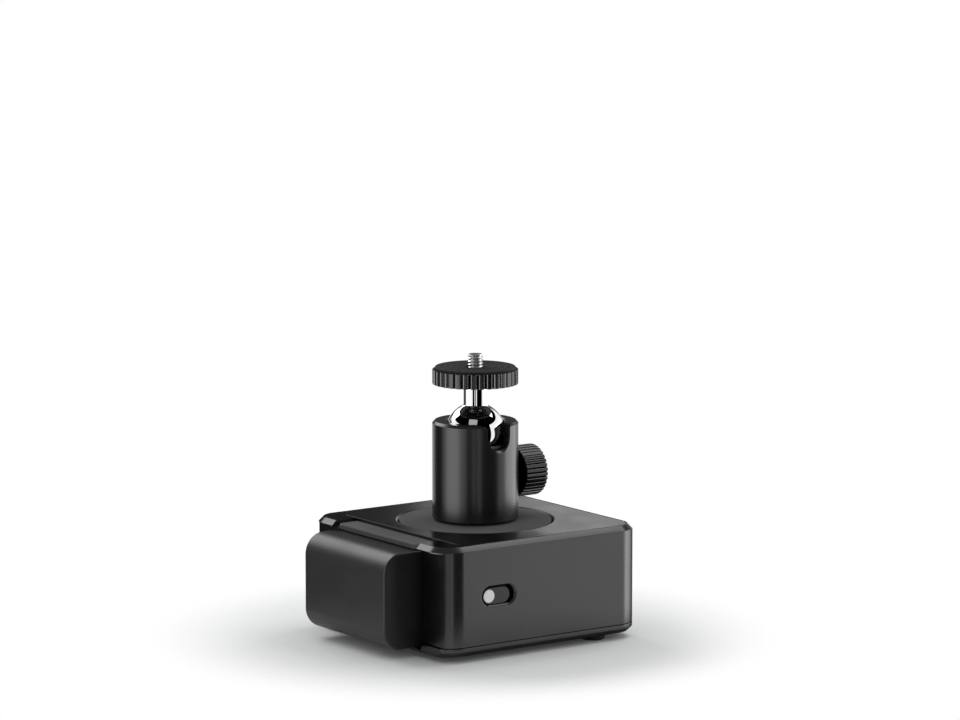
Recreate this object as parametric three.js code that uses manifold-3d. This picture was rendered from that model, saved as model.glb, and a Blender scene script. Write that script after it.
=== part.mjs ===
// Motorised pan head with a side battery, carrying a mini ball head for a camera.
// Lengths are in millimetres and +Z is up. Pieces are drawn round the pan axis, which
// stands on the floor plane, and the finished group is moved to the middle of its base.

import * as THREE from 'three';
import { mergeVertices } from 'three/addons/utils/BufferGeometryUtils.js';
import Module from 'manifold-3d';

const wasm = await Module();
wasm.setup();

// Clearances and facet counts shared by all pieces
const fitGap = 0.3;
const overrun = 1;
const edgeBevel = 0.4;
const bigSides = 48;
const ballSides = 28;
const midSides = 24;
const smallSides = 12;
const leadSides = 6;
const leadSteps = 16;
const cornerSteps = 5;
const bendSteps = 3;

// Feet and base plate
const footHeight = 2.5;
const footRadius = 5;
const footSeatDepth = 1;
const footBevel = 0.6;
const footFromRight = 18.1;
const footFromFront = 9.3;
const leftFootFromLeft = 22.6;
const leftFootFromFront = 24;
const plateThickness = 3.6;
const plateChamfer = 2;

// Battery, and the bay that is cut for it in the housing's left side
const batteryThickness = 21;
const batteryLength = 56.9;
const batteryHeight = 38.8;
const batteryRound = 8.5;
const batteryInnerRound = 1;
const batteryEndBevel = 0.6;
const bayDepth = 9.4;
const bayBackPost = 17;
const bayFrontPost = 18;
const bayFrontRoom = 2.5;
const sillThickness = 1;
const sillInset = 2.1;
const postCut = 3.1;

// Latch bar above the battery, its guide rib and its spring
const barThickness = 2.1;
const barDrop = 1.2;
const barInset = 2.1;
const barShorter = 1;
const barRound = 3;
const barTravel = 2.5;
const serrationPitch = 1.2;
const serrationDepth = 0.3;
const ribWidth = 1.2;
const ribDepth = 2.4;
const ribLength = 20;
const ribFromBayWall = 1.6;
const springLength = 10;
const springWire = 0.3;
const springCoil = 0.55;
const springTurns = 7;
const springStepsPerTurn = 7;
const springSides = 5;

// Housing
const turntableToCoverLeft = 6.9;
const turntableToRight = 17.7;
const axisBehindMiddle = 0.65;
const cornerRadius = 10.5;
const topChamfer = 2;
const wall = 4;
const lipThickness = 2.5;
const seamHeight = 0.3;
const seamDepth = 0.6;
const bossRadius = 4;
const bossInset = 3.2;
const leftBossFromFront = 15;
const bossHoleDepth = 9;

// Top cover
const coverThickness = 2.5;
const coverLand = 0.4;
const coverFromBayWall = 2.6;
const coverRingChamfer = 1;

// Base screws
const screwRadius = 1.5;
const screwHeadRadius = 2.8;
const screwHeadHeight = 1.8;
const screwHeadSink = 0.2;
const screwLength = 8;
const socketRadius = 1.3;
const socketDepth = 1;

// Front slot, its slider and the status lens
const slotFromBayWall = 13.7;
const slotBelowTop = 20.8;
const slotLength = 15.4;
const slotHeight = 7.2;
const slotChamfer = 0.7;
const sliderTravel = 2;
const sliderSink = 0.5;
const sliderFlange = 1;
const sliderFlangeReach = 1.8;
const pegWidth = 1.6;
const pegLength = 1.4;
const lensRadius = 2.75;
const lensFromEnd = 3;
const lensDepth = 2.4;
const lensGap = 0.15;

// Boards behind the front wall
const boardThickness = 1.6;
const boardStandoff = 3.5;
const boardBossRadius = 2.2;
const boardBossInset = 3;
const boardFromBayWall = 7.9;
const boardFromRightWall = 10.7;
const boardFromPlate = 3;
const boardBelowCover = 2.6;
const switchWidth = 10;
const switchHeight = 6;
const switchDepth = 1.8;
const radioWidth = 16;
const radioHeight = 12;
const radioDepth = 2.4;
const chipWidth = 7;
const chipDepth = 1.2;

// Battery dock and its contacts
const dockThickness = 1.5;
const dockEndGap = 1;
const contactBlockWidth = 18;
const contactBlockHeight = 8;
const contactBlockDepth = 2;
const contactBlockUp = 8;
const contactPocketGap = 0.5;
const terminalCount = 3;
const terminalPitch = 5;
const terminalThickness = 1;
const terminalHeight = 4;
const terminalTail = 1.5;

// Turntable and the ball head's seat on it
const turntableRadius = 30.7;
const turntableThickness = 3.2;
const washerInset = 1.45;
const washerThickness = 0.6;
const headStudRadius = 4.76;
const headStudGrip = 6;

// Pan drive: bearings, shaft, gears
const bearingBore = 7.5;
const bearingOuter = 12;
const bearingWidth = 5;
const bearingRace = 1.2;
const shaftFlangeRadius = 12;
const shaftFlangeThickness = 2.5;
const shaftWall = 3.2;
const shaftBelowNut = 0.5;
const nutRadius = 10.6;
const nutHeight = 3.7;
const gearModule = 0.8;
const mainTeeth = 64;
const pinionTeeth = 16;
const gearThickness = 4;
const gearHubRadius = 10;
const gearHubLength = 2.2;
const gearBacklash = 0.3;
const pinionExtra = 0.3;
const pinionStemRadius = 2.5;
const centreExtra = 0.05;

// Drive frame, its pillars and the lower bearing's tower
const frameThickness = 3;
const frameBelowBearingTop = 1;
const frameSeatWall = 3.2;
const bearingLip = 1;
const frameEdgeGap = 2.4;
const frameBoardGap = 3.5;
const frameRound = 6;
const pillarRadius = 3;
const pillarInset = 6.2;
const towerFlangeRadius = 20;
const towerFlangeThickness = 2.5;
const towerWall = 3.2;

// Motor and gearbox
const gearboxRadius = 10;
const gearboxLength = 8;
const motorRadius = 9.3;
const motorGap = 2.4;
const motorBossRadius = 3;
const motorBossLength = 1;
const leadRadius = 1.1;

// Threaded insert for a tripod screw
const insertRadius = 8;
const insertFlangeRadius = 10;
const insertFlangeThickness = 1.5;
const insertGap = 1.1;
const insertBore = 4.1;

// Ball head column
const columnRadius = 17.35;
const columnHeight = 39.8;
const columnTopBevel = 1;
const columnFootBevel = 0.6;
const columnWall = 3.85;
const ballInset = 5.25;
const rimAboveBall = 5;
const rimChamfer = 0.8;
const notchChamfer = 0.7;
const plugRoof = 5.4;
const linerThickness = 0.7;
const cupRimBelowBall = 6.6;
const cupFloor = 1.2;
const neckRadius = 5;
const neckGap = 0.35;

// Platform that meets the camera
const platformAboveBall = 19.8;
const platformInset = 0.05;
const platformThickness = 6;
const platformFlutes = 33;
const fluteDepth = 0.8;
const platformBevel = 0.5;
const neckGrip = 3.6;
const padInset = 1.1;
const padThickness = 1;
const cameraStudRadius = 3.175;
const cameraStudReach = 5;
const cameraStudBevel = 0.6;

// Lock knob and what it drives
const cupPinGap = 0.5;
const knobRadius = 10.4;
const knobLength = 10.6;
const knobGap = 0.95;
const knobFlutes = 34;
const knobFluteDepth = 0.6;
const knobInnerBevel = 0.4;
const knobOuterBevel = 0.8;
const lockScrewRadius = 3;
const lockScrewInKnob = 7.7;
const lockScrewTip = 7.3;
const brakePinRadius = 2.8;
const brakePinLength = 16;
const brakePinCone = 4;

// Angles and shares
const driveAngle = Math.PI / 4;
const pressureAngle = THREE.MathUtils.degToRad(20);
const addendumShare = 0.9;
const dedendumShare = 1.15;
const serrationShare = 0.5;
const ridgeShare = 0.62;
const linerStart = THREE.MathUtils.degToRad(129);
const linerEnd = THREE.MathUtils.degToRad(160);
const lowerBearingShare = 0.524;
const boardPartsShares = { radioAlong: 0.62, radioUp: 0.5, chipAlong: 0.32, chipUp: 0.3 };

// Levels above the floor
const plateTop = footHeight + plateThickness;
const sillTop = footHeight + sillThickness;
const batteryBottom = sillTop + fitGap;
const barBottom = batteryBottom + batteryHeight + fitGap;
const top = barBottom + barThickness + barDrop;
const coverUnderside = top - coverThickness;
const turntableUnderside = top - turntableThickness;
const flangeUnderside = turntableUnderside - shaftFlangeThickness;
const gearUnderside = flangeUnderside - gearThickness;
const upperBearingTop = gearUnderside - gearHubLength - fitGap;
const upperBearingBottom = upperBearingTop - bearingWidth;
const frameTop = upperBearingTop - frameBelowBearingTop;
const frameUnderside = frameTop - frameThickness;
const lowerBearingBottom = plateTop + lowerBearingShare * (upperBearingBottom - plateTop);
const shaftBottom = lowerBearingBottom - fitGap - nutHeight - shaftBelowNut;
const insertTop = shaftBottom - insertGap;
const motorTop = frameUnderside - gearboxLength;
const motorBottom = plateTop + motorGap;
const slotLevel = top - slotBelowTop;
const contactLevel = batteryBottom + contactBlockUp + contactBlockHeight / 2;

// Plan positions from the pan axis
const housingDepth = bayFrontPost + bayFrontRoom + batteryLength + fitGap + bayBackPost;
const left = -(turntableRadius + turntableToCoverLeft + coverFromBayWall + bayDepth);
const right = turntableRadius + turntableToRight;
const front = -(housingDepth / 2 + axisBehindMiddle);
const back = housingDepth / 2 - axisBehindMiddle;
const innerRight = right - wall;
const innerFront = front + wall;
const innerBack = back - wall;
const bayFace = left + bayDepth;
const bayInner = bayFace + wall;
const coverLeft = bayFace + coverFromBayWall;
const coverInset = topChamfer + coverLand + fitGap;
const coverRound = cornerRadius - coverInset;
const bayBack = back - bayBackPost;
const batteryBack = bayBack - fitGap;
const batteryFront = batteryBack - batteryLength;
const bayFront = batteryFront - bayFrontRoom;
const batteryInner = bayFace - dockThickness - fitGap;
const batteryOuter = batteryInner - batteryThickness;
const barRight = coverLeft - fitGap;
const barLeft = left + barInset;
const barFront = batteryFront + barShorter;
const barMiddle = (barFront + batteryBack) / 2;
const ribCentre = bayFace + ribFromBayWall;
const ribFront = barMiddle - ribLength / 2;
const slotCentre = bayInner + slotFromBayWall;
const boardFront = innerFront + boardStandoff;
const boardBack = boardFront + boardThickness;
const boardLeft = bayInner + boardFromBayWall;
const boardRight = innerRight - boardFromRightWall;
const boardWidth = boardRight - boardLeft;
const boardBottom = plateTop + boardFromPlate;
const boardHeight = coverUnderside - boardBelowCover - boardBottom;
const mainPitchRadius = gearModule * mainTeeth / 2;
const pinionPitchRadius = gearModule * pinionTeeth / 2;
const driveDistance = mainPitchRadius + pinionPitchRadius + centreExtra;
const motorX = driveDistance * Math.cos(driveAngle);
const motorY = driveDistance * Math.sin(driveAngle);
const frameLeft = bayInner + frameEdgeGap + bossRadius + bossInset;
const frameRight = innerRight - frameEdgeGap;
const frameFront = boardBack + frameBoardGap;
const frameBack = innerBack - frameEdgeGap;

// Heights above the turntable, for the ball head
const columnTop = washerThickness + columnHeight;
const ballCentre = columnTop - rimAboveBall;
const ballRadius = columnRadius - ballInset;
const columnBore = columnRadius - columnWall;
const washerRadius = columnRadius - washerInset;
const platformRadius = columnRadius - platformInset;
const seatRadius = ballRadius + fitGap;
const linerOuter = seatRadius + linerThickness;
const cupSeatRadius = linerOuter + fitGap;
const notchHalfWidth = neckRadius + neckGap;
const cupUnderside = ballCentre - cupSeatRadius - cupFloor;
const knobLevel = cupUnderside - cupPinGap - brakePinRadius;
const plugTop = knobLevel - brakePinRadius - fitGap;
const headStudTop = plugTop - plugRoof;

// Plain outlines, as lists of [x, y] points that run anticlockwise

function arc(cx, cy, radius, from, to, steps) {
  return Array.from({ length: steps + 1 }, (_, i) => {
    const angle = from + (to - from) * i / steps;
    return [cx + radius * Math.cos(angle), cy + radius * Math.sin(angle)];
  });
}

function circle(radius, sides, cx = 0, cy = 0) {
  return arc(cx, cy, radius, 0, 2 * Math.PI, sides).slice(0, sides);
}

function rectangle(x0, x1, y0, y1) {
  return [[x0, y0], [x1, y0], [x1, y1], [x0, y1]];
}

// Corner radii in order: low x low y, high x low y, high x high y, low x high y
function roundedRectangle(x0, x1, y0, y1, radii) {
  const [a, b, c, d] = Array.isArray(radii) ? radii : [radii, radii, radii, radii];
  const quarter = Math.PI / 2;
  return [
    ...arc(x0 + a, y0 + a, a, 2 * quarter, 3 * quarter, cornerSteps),
    ...arc(x1 - b, y0 + b, b, 3 * quarter, 4 * quarter, cornerSteps),
    ...arc(x1 - c, y1 - c, c, 0, quarter, cornerSteps),
    ...arc(x0 + d, y1 - d, d, quarter, 2 * quarter, cornerSteps),
  ];
}

function obround(cx, cy, length, height) {
  const radius = height / 2;
  const reach = length / 2 - radius;
  const quarter = Math.PI / 2;
  return [
    ...arc(cx + reach, cy, radius, -quarter, quarter, 2 * cornerSteps),
    ...arc(cx - reach, cy, radius, quarter, 3 * quarter, 2 * cornerSteps),
  ];
}

// Flat ridges, each followed by a V groove
function fluted(radius, depth, count) {
  const pitch = 2 * Math.PI / count;
  const corners = [[0, radius], [ridgeShare, radius], [(1 + ridgeShare) / 2, radius - depth]];
  return Array.from({ length: count }, (_, i) => corners.map(([share, reach]) => {
    const angle = pitch * (i + share);
    return [reach * Math.cos(angle), reach * Math.sin(angle)];
  })).flat();
}

// Involute teeth with straight roots below the base circle
function gearOutline(teeth, phase, flankSteps) {
  const pitch = gearModule * teeth / 2;
  const base = pitch * Math.cos(pressureAngle);
  const root = pitch - dedendumShare * gearModule;
  const tip = pitch + addendumShare * gearModule;
  const start = Math.max(base, root);
  const involute = (angle) => Math.tan(angle) - angle;
  const halfAtPitch = Math.PI / (2 * teeth) - gearBacklash / (4 * pitch);
  const halfAngle = (radius) => halfAtPitch + involute(pressureAngle)
    - involute(Math.acos(Math.min(1, base / radius)));
  const flank = Array.from({ length: flankSteps + 1 }, (_, i) => {
    const radius = start + (tip - start) * i / flankSteps;
    return { radius, half: halfAngle(radius) };
  });
  const rising = root < start ? [{ radius: root, half: halfAngle(start) }, ...flank] : flank;
  const points = [];
  for (let tooth = 0; tooth < teeth; tooth += 1) {
    const middle = phase + 2 * Math.PI * tooth / teeth;
    const sides = [
      ...rising.map(({ radius, half }) => [radius, middle - half]),
      ...rising.toReversed().map(({ radius, half }) => [radius, middle + half]),
    ];
    points.push(...sides.map(([r, angle]) => [r * Math.cos(angle), r * Math.sin(angle)]));
  }
  return points;
}

// Solids

// A solid skinned over outlines with equal point counts, stacked along z
function skin(layers) {
  const count = layers[0].outline.length;
  const positions = layers.flatMap(({ outline, z }) => outline.flatMap(([x, y]) => [x, y, z]));
  const index = [];
  for (let layer = 0; layer + 1 < layers.length; layer += 1) {
    for (let i = 0; i < count; i += 1) {
      const a = layer * count + i;
      const b = layer * count + (i + 1) % count;
      index.push(a, b, b + count, a, b + count, a + count);
    }
  }
  const last = (layers.length - 1) * count;
  const cap = (outline) => THREE.ShapeUtils.triangulateShape(
    outline.map(([x, y]) => new THREE.Vector2(x, y)), []);
  cap(layers[0].outline).forEach(([a, b, c]) => index.push(c, b, a));
  cap(layers.at(-1).outline).forEach(([a, b, c]) => index.push(last + a, last + b, last + c));
  const geometry = new THREE.BufferGeometry();
  geometry.setAttribute('position', new THREE.Float32BufferAttribute(positions, 3));
  geometry.setIndex(index);
  return geometry;
}

function prism(outline, z0, z1) {
  return skin([{ outline, z: z0 }, { outline, z: z1 }]);
}

function block(x0, x1, y0, y1, z0, z1) {
  return prism(rectangle(x0, x1, y0, y1), z0, z1);
}

function rod(radius, z0, z1, sides = midSides) {
  return prism(circle(radius, sides), z0, z1);
}

// Stands a solid drawn over (y, z) along +X
function alongX(geometry) {
  return geometry.applyMatrix4(new THREE.Matrix4().set(
    0, 0, 1, 0,
    1, 0, 0, 0,
    0, 1, 0, 0,
    0, 0, 0, 1));
}

// Extrudes an outline drawn over (x, z) from y0 to y1
function acrossY(outline, y0, y1) {
  return prism(outline, -y1, -y0).rotateX(Math.PI / 2);
}

// Turns a profile of [radius, z] points about the z axis
function turned(profile, sides) {
  const points = profile.map(([radius, z]) => new THREE.Vector2(radius, z));
  return new THREE.LatheGeometry(points, sides).rotateX(Math.PI / 2);
}

function closedProfile(points) {
  return [...points, points[0]];
}

function ball(radius) {
  return new THREE.SphereGeometry(radius, ballSides, ballSides / 2).rotateX(Math.PI / 2);
}

function toSolid(geometry) {
  const bare = geometry.clone();
  bare.deleteAttribute('normal');
  bare.deleteAttribute('uv');
  const merged = mergeVertices(bare);
  const at = (i) => new THREE.Vector3().fromBufferAttribute(merged.attributes.position, i);
  const triangles = [];
  let volume = 0;
  for (let i = 0; i < merged.index.count; i += 3) {
    const [a, b, c] = [0, 1, 2].map((k) => merged.index.getX(i + k));
    if (a === b || b === c || c === a) {
      continue;
    }
    triangles.push([a, b, c]);
    volume += at(a).dot(at(b).cross(at(c)));
  }
  const ordered = volume < 0 ? triangles.map(([a, b, c]) => [a, c, b]) : triangles;
  return new wasm.Manifold(new wasm.Mesh({
    numProp: 3,
    vertProperties: Float32Array.from(merged.attributes.position.array),
    triVerts: Uint32Array.from(ordered.flat()),
  }));
}

function joined(...geometries) {
  return geometries.map(toSolid).reduce((whole, piece) => whole.add(piece));
}

function cut(solid, ...geometries) {
  return geometries.map(toSolid).reduce((rest, piece) => rest.subtract(piece), solid);
}

function toGeometry(solid) {
  const { vertProperties, triVerts } = solid.getMesh();
  const geometry = new THREE.BufferGeometry();
  geometry.setAttribute('position', new THREE.Float32BufferAttribute(vertProperties, 3));
  geometry.setIndex(Array.from(triVerts));
  geometry.computeVertexNormals();
  return geometry;
}

// Materials

function finish(color, roughness, metalness) {
  return new THREE.MeshStandardMaterial({ color, roughness, metalness });
}

const blackAnodised = finish(0x1b1b1c, 0.45, 0.6);
const blackGloss = finish(0x141415, 0.3, 0.5);
const blackPlastic = finish(0x18181a, 0.6, 0);
const blackRubber = finish(0x121212, 0.85, 0);
const chrome = finish(0xd8dadc, 0.06, 1);
const steel = finish(0x9a9ca0, 0.35, 1);
const brass = finish(0xb08d4a, 0.35, 1);
const plainAluminium = finish(0xb9bbbe, 0.4, 1);
const whitePlastic = finish(0xf2f2f0, 0.35, 0);
const greyNylon = finish(0xcfcfca, 0.5, 0);
const boardGreen = finish(0x17402a, 0.5, 0);
const canSilver = finish(0xc4c6c8, 0.3, 1);
const leadBlack = finish(0x101012, 0.6, 0);

function mesh(name, shape, material) {
  const geometry = shape instanceof THREE.BufferGeometry ? toGeometry(toSolid(shape)) : toGeometry(shape);
  const piece = new THREE.Mesh(geometry, material);
  piece.name = name;
  return piece;
}

function groupAt(x, y, z, ...pieces) {
  const group = new THREE.Group();
  group.position.set(x, y, z);
  group.add(...pieces);
  return group;
}

// Housing, cover and base

function housingOutline(inset) {
  return roundedRectangle(left + inset, right - inset, front + inset, back - inset, cornerRadius - inset);
}

function coverOutline(grown) {
  return roundedRectangle(coverLeft - grown, right - coverInset + grown, front + coverInset - grown,
    back - coverInset + grown, coverRound + grown);
}

function bossCentres() {
  const rightX = innerRight - bossInset;
  const leftX = bayInner + bossInset;
  return [
    [leftX, front + leftBossFromFront],
    [rightX, innerFront + bossInset],
    [rightX, innerBack - bossInset],
    [leftX, back - leftBossFromFront],
  ];
}

function boardHoles() {
  const low = boardBottom + boardBossInset;
  const high = boardBottom + boardHeight - boardBossInset;
  const leftX = boardLeft + boardBossInset;
  const rightX = boardRight - boardBossInset;
  return [[leftX, low], [rightX, low], [rightX, high], [leftX, high]];
}

function slotCutters() {
  const through = acrossY(obround(slotCentre, slotLevel, slotLength, slotHeight),
    front - overrun, innerFront + overrun);
  const grow = 2 * (slotChamfer + overrun);
  const inner = obround(slotCentre, slotLevel, slotLength, slotHeight);
  const outer = obround(slotCentre, slotLevel, slotLength + grow, slotHeight + grow);
  const countersink = skin([
    { outline: inner, z: -(front + slotChamfer) },
    { outline: outer, z: -(front - overrun) },
  ]).rotateX(Math.PI / 2);
  return [through, countersink];
}

function makeHousing() {
  const shell = toSolid(skin([
    { outline: housingOutline(seamDepth), z: plateTop },
    { outline: housingOutline(seamDepth), z: plateTop + seamHeight },
    { outline: housingOutline(0), z: plateTop + seamHeight },
    { outline: housingOutline(0), z: top - topChamfer },
    { outline: housingOutline(topChamfer), z: top },
  ]));
  const inner = roundedRectangle(bayInner, innerRight, innerFront, innerBack, cornerRadius - wall);
  const hollowed = cut(shell,
    prism(inner, plateTop - overrun, top + overrun),
    prism(coverOutline(fitGap), coverUnderside, top + overrun));
  const bosses = bossCentres().map(([x, y]) => prism(
    circle(bossRadius, midSides, x, y), plateTop, coverUnderside));
  const boardBosses = boardHoles().map(([x, z]) => acrossY(
    circle(boardBossRadius, smallSides, x, z), innerFront - wall / 2, boardFront));
  const withBosses = [...bosses, ...boardBosses].map(toSolid)
    .reduce((whole, boss) => whole.add(boss), hollowed);
  const bay = block(left - overrun, bayFace, bayFront, bayBack, plateTop - overrun, top + overrun);
  const barSlot = block(left - overrun, coverLeft, bayFront, bayBack, barBottom - fitGap, top + overrun);
  const posts = block(left - overrun, left + postCut, front - overrun, back + overrun,
    plateTop - overrun, top - lipThickness);
  const ribHalf = ribWidth / 2 + fitGap;
  const groove = block(ribCentre - ribHalf, ribCentre + ribHalf,
    ribFront - springLength - 2 * fitGap, ribFront + ribLength + fitGap,
    barBottom - ribDepth - fitGap, barBottom);
  const windowHalf = contactBlockWidth / 2 - terminalPitch / 2;
  const contactWindow = block(bayFace - overrun, bayInner + overrun, -windowHalf, windowHalf,
    contactLevel - terminalHeight / 2 - fitGap, contactLevel + terminalHeight / 2 + fitGap);
  const screwHoles = bossCentres().map(([x, y]) => prism(
    circle(screwRadius + fitGap, smallSides, x, y), plateTop - overrun, plateTop + bossHoleDepth));
  return cut(withBosses, bay, barSlot, posts, groove, contactWindow, ...screwHoles, ...slotCutters());
}

function makeTopCover() {
  const plate = toSolid(skin([
    { outline: coverOutline(0), z: coverUnderside },
    { outline: coverOutline(0), z: top - edgeBevel },
    { outline: coverOutline(-edgeBevel), z: top },
  ]));
  const hole = turntableRadius + fitGap;
  const opening = skin([
    { outline: circle(hole, bigSides), z: coverUnderside - overrun },
    { outline: circle(hole, bigSides), z: top - coverRingChamfer },
    { outline: circle(hole + coverRingChamfer + overrun, bigSides), z: top + overrun },
  ]);
  return cut(plate, opening);
}

// The right pair stands in the corners and the left pair further in, clear of the battery bay
function footCentres() {
  const rightX = right - footFromRight;
  const leftX = left + leftFootFromLeft;
  return [
    [leftX, front + leftFootFromFront],
    [rightX, front + footFromFront],
    [rightX, back - footFromFront],
    [leftX, back - leftFootFromFront],
  ];
}

function makeBasePlate() {
  const plate = toSolid(skin([
    { outline: housingOutline(plateChamfer), z: footHeight },
    { outline: housingOutline(0), z: footHeight + plateChamfer },
    { outline: housingOutline(0), z: plateTop },
  ]));
  const below = footHeight - overrun;
  const above = plateTop + overrun;
  const leftEdge = block(left - overrun, left + sillInset, front - overrun, back + overrun, below, above);
  const bay = block(left - overrun, bayFace, bayFront, bayBack, sillTop, above);
  const footSeats = footCentres().map(([x, y]) => prism(
    circle(footRadius + fitGap, midSides, x, y), below, footHeight + footSeatDepth));
  const headSpace = screwHeadHeight + screwHeadSink;
  const screwHeads = bossCentres().map(([x, y]) => prism(
    circle(screwHeadRadius + fitGap, smallSides, x, y), below, footHeight + headSpace));
  const screwHoles = bossCentres().map(([x, y]) => prism(
    circle(screwRadius + fitGap, smallSides, x, y), below, above));
  const insertHole = rod(insertRadius + fitGap, below, above);
  const insertSeat = rod(insertFlangeRadius + fitGap, below, footHeight + insertFlangeThickness);
  return cut(plate, leftEdge, bay, ...footSeats, ...screwHeads, ...screwHoles, insertHole, insertSeat);
}

function makeFoot() {
  return skin([
    { outline: circle(footRadius - footBevel, midSides), z: 0 },
    { outline: circle(footRadius, midSides), z: footBevel },
    { outline: circle(footRadius, midSides), z: footHeight + footSeatDepth },
  ]);
}

// Stands on the underside of its head, with the shank pointing up
function makeBaseScrew() {
  const screw = joined(
    rod(screwHeadRadius, -screwHeadHeight, 0, smallSides),
    rod(screwRadius, -screwHeadHeight / 2, screwLength, smallSides));
  return cut(screw, rod(socketRadius, -screwHeadHeight - overrun, socketDepth - screwHeadHeight, 6));
}

function makeTripodInsert() {
  const bush = joined(
    rod(insertFlangeRadius, footHeight, footHeight + insertFlangeThickness),
    rod(insertRadius, footHeight, insertTop));
  return cut(bush, rod(insertBore, footHeight - overrun, insertTop + overrun, smallSides));
}

// Battery side

function batteryProfile(inset) {
  const outer = batteryRound - inset;
  const inner = batteryInnerRound;
  return roundedRectangle(batteryOuter + inset, batteryInner - inset,
    batteryBottom + inset, batteryBottom + batteryHeight - inset, [outer, inner, inner, outer]);
}

function makeBattery() {
  const bar = toSolid(skin([
    { outline: batteryProfile(batteryEndBevel), z: -batteryBack },
    { outline: batteryProfile(0), z: -(batteryBack - batteryEndBevel) },
    { outline: batteryProfile(0), z: -(batteryFront + batteryEndBevel) },
    { outline: batteryProfile(batteryEndBevel), z: -batteryFront },
  ]).rotateX(Math.PI / 2));
  const halfWidth = contactBlockWidth / 2 + contactPocketGap;
  const halfHeight = contactBlockHeight / 2 + contactPocketGap;
  const pocket = block(batteryInner - contactBlockDepth, batteryInner + overrun,
    -halfWidth, halfWidth, contactLevel - halfHeight, contactLevel + halfHeight);
  return cut(bar, pocket);
}

function terminalPlaces() {
  return Array.from({ length: terminalCount }, (_, i) => (i - (terminalCount - 1) / 2) * terminalPitch);
}

function makeBatteryDock() {
  const plateFace = bayFace - dockThickness;
  const dock = joined(
    block(plateFace, bayFace, bayFront + dockEndGap, bayBack - dockEndGap,
      sillTop, barBottom - 2 * fitGap),
    block(plateFace - contactBlockDepth + fitGap, bayFace, -contactBlockWidth / 2, contactBlockWidth / 2,
      contactLevel - contactBlockHeight / 2, contactLevel + contactBlockHeight / 2));
  const slotHalf = terminalThickness / 2 + fitGap;
  const slots = terminalPlaces().map((y) => block(
    plateFace - contactBlockDepth - overrun, bayFace + overrun, y - slotHalf, y + slotHalf,
    contactLevel - terminalHeight / 2 - fitGap, contactLevel + terminalHeight / 2 + fitGap));
  return cut(dock, ...slots);
}

function makeTerminal() {
  return block(bayFace - dockThickness - contactBlockDepth + 2 * fitGap, bayInner + terminalTail,
    -terminalThickness / 2, terminalThickness / 2,
    contactLevel - terminalHeight / 2, contactLevel + terminalHeight / 2);
}

function barOutline(inset) {
  const outerX = barLeft + inset;
  const frontY = barFront + inset;
  const backY = batteryBack - inset;
  const radius = barRound - inset;
  const straight = batteryBack - barFront - 2 * barRound;
  const count = Math.floor(straight / serrationPitch);
  const pitch = straight / count;
  const serrations = Array.from({ length: count }, (_, i) => {
    const y = batteryBack - barRound - (i + serrationShare) * pitch;
    return [[outerX, y], [outerX + serrationDepth, y - pitch * serrationShare]];
  }).flat();
  const quarter = Math.PI / 2;
  return [
    [barRight, frontY],
    [barRight, backY],
    ...arc(outerX + radius, backY - radius, radius, quarter, 2 * quarter, cornerSteps),
    ...serrations,
    ...arc(outerX + radius, frontY + radius, radius, 2 * quarter, 3 * quarter, cornerSteps),
  ];
}

function makeLatchBar() {
  const bar = skin([
    { outline: barOutline(0), z: barBottom },
    { outline: barOutline(0), z: barBottom + barThickness - edgeBevel },
    { outline: barOutline(edgeBevel), z: barBottom + barThickness },
  ]);
  const rib = block(ribCentre - ribWidth / 2, ribCentre + ribWidth / 2,
    ribFront, ribFront + ribLength, barBottom - ribDepth, barBottom + barThickness / 2);
  return joined(bar, rib);
}

class Helix extends THREE.Curve {
  getPoint(t) {
    const angle = 2 * Math.PI * springTurns * t;
    return new THREE.Vector3(springCoil * Math.cos(angle), springLength * t, springCoil * Math.sin(angle));
  }
}

// Lies in the groove in front of the bar's rib
function makeLatchSpring() {
  const outline = circle(springWire / 2, springSides);
  const section = new THREE.Shape(outline.map(([x, y]) => new THREE.Vector2(x, y)));
  const coil = new THREE.ExtrudeGeometry(section, {
    steps: springTurns * springStepsPerTurn,
    extrudePath: new Helix(),
    bevelEnabled: false,
  });
  return coil.translate(ribCentre, ribFront - springLength - fitGap, barBottom - ribDepth / 2);
}

// Front slider and electronics

function sliderOutline(grown) {
  const length = slotLength - sliderTravel - 2 * fitGap + 2 * grown;
  const centre = slotCentre - slotLength / 2 + fitGap + (length - 2 * grown) / 2;
  return obround(centre, slotLevel, length, slotHeight - 2 * fitGap + 2 * grown);
}

const lensX = slotCentre - slotLength / 2 + fitGap + lensFromEnd;
const sliderFace = front + sliderSink;
const flangeFront = innerFront + fitGap;
const flangeBack = flangeFront + sliderFlange;

function makePowerSlider() {
  const slider = joined(
    acrossY(sliderOutline(0), sliderFace, flangeFront + sliderFlange / 2),
    acrossY(sliderOutline(sliderFlangeReach), flangeFront, flangeBack),
    block(slotCentre - pegWidth / 2, slotCentre + pegWidth / 2, flangeBack - sliderFlange / 2,
      flangeBack + pegLength, slotLevel - pegWidth / 2, slotLevel + pegWidth / 2));
  return cut(slider, acrossY(circle(lensRadius + lensGap, midSides, lensX, slotLevel),
    front - overrun, sliderFace + lensDepth));
}

function makeStatusLens() {
  return acrossY(circle(lensRadius, midSides, lensX, slotLevel), sliderFace, sliderFace + lensDepth);
}

function makeSlideSwitch() {
  const body = toSolid(block(slotCentre - switchWidth / 2, slotCentre + switchWidth / 2,
    boardFront - switchDepth, boardFront, slotLevel - switchHeight / 2, slotLevel + switchHeight / 2));
  const halfHeight = pegWidth / 2 + fitGap;
  const slot = block(slotCentre - halfHeight, slotCentre + halfHeight + sliderTravel,
    boardFront - switchDepth - overrun, flangeBack + pegLength + fitGap,
    slotLevel - halfHeight, slotLevel + halfHeight);
  return cut(body, slot);
}

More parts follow.
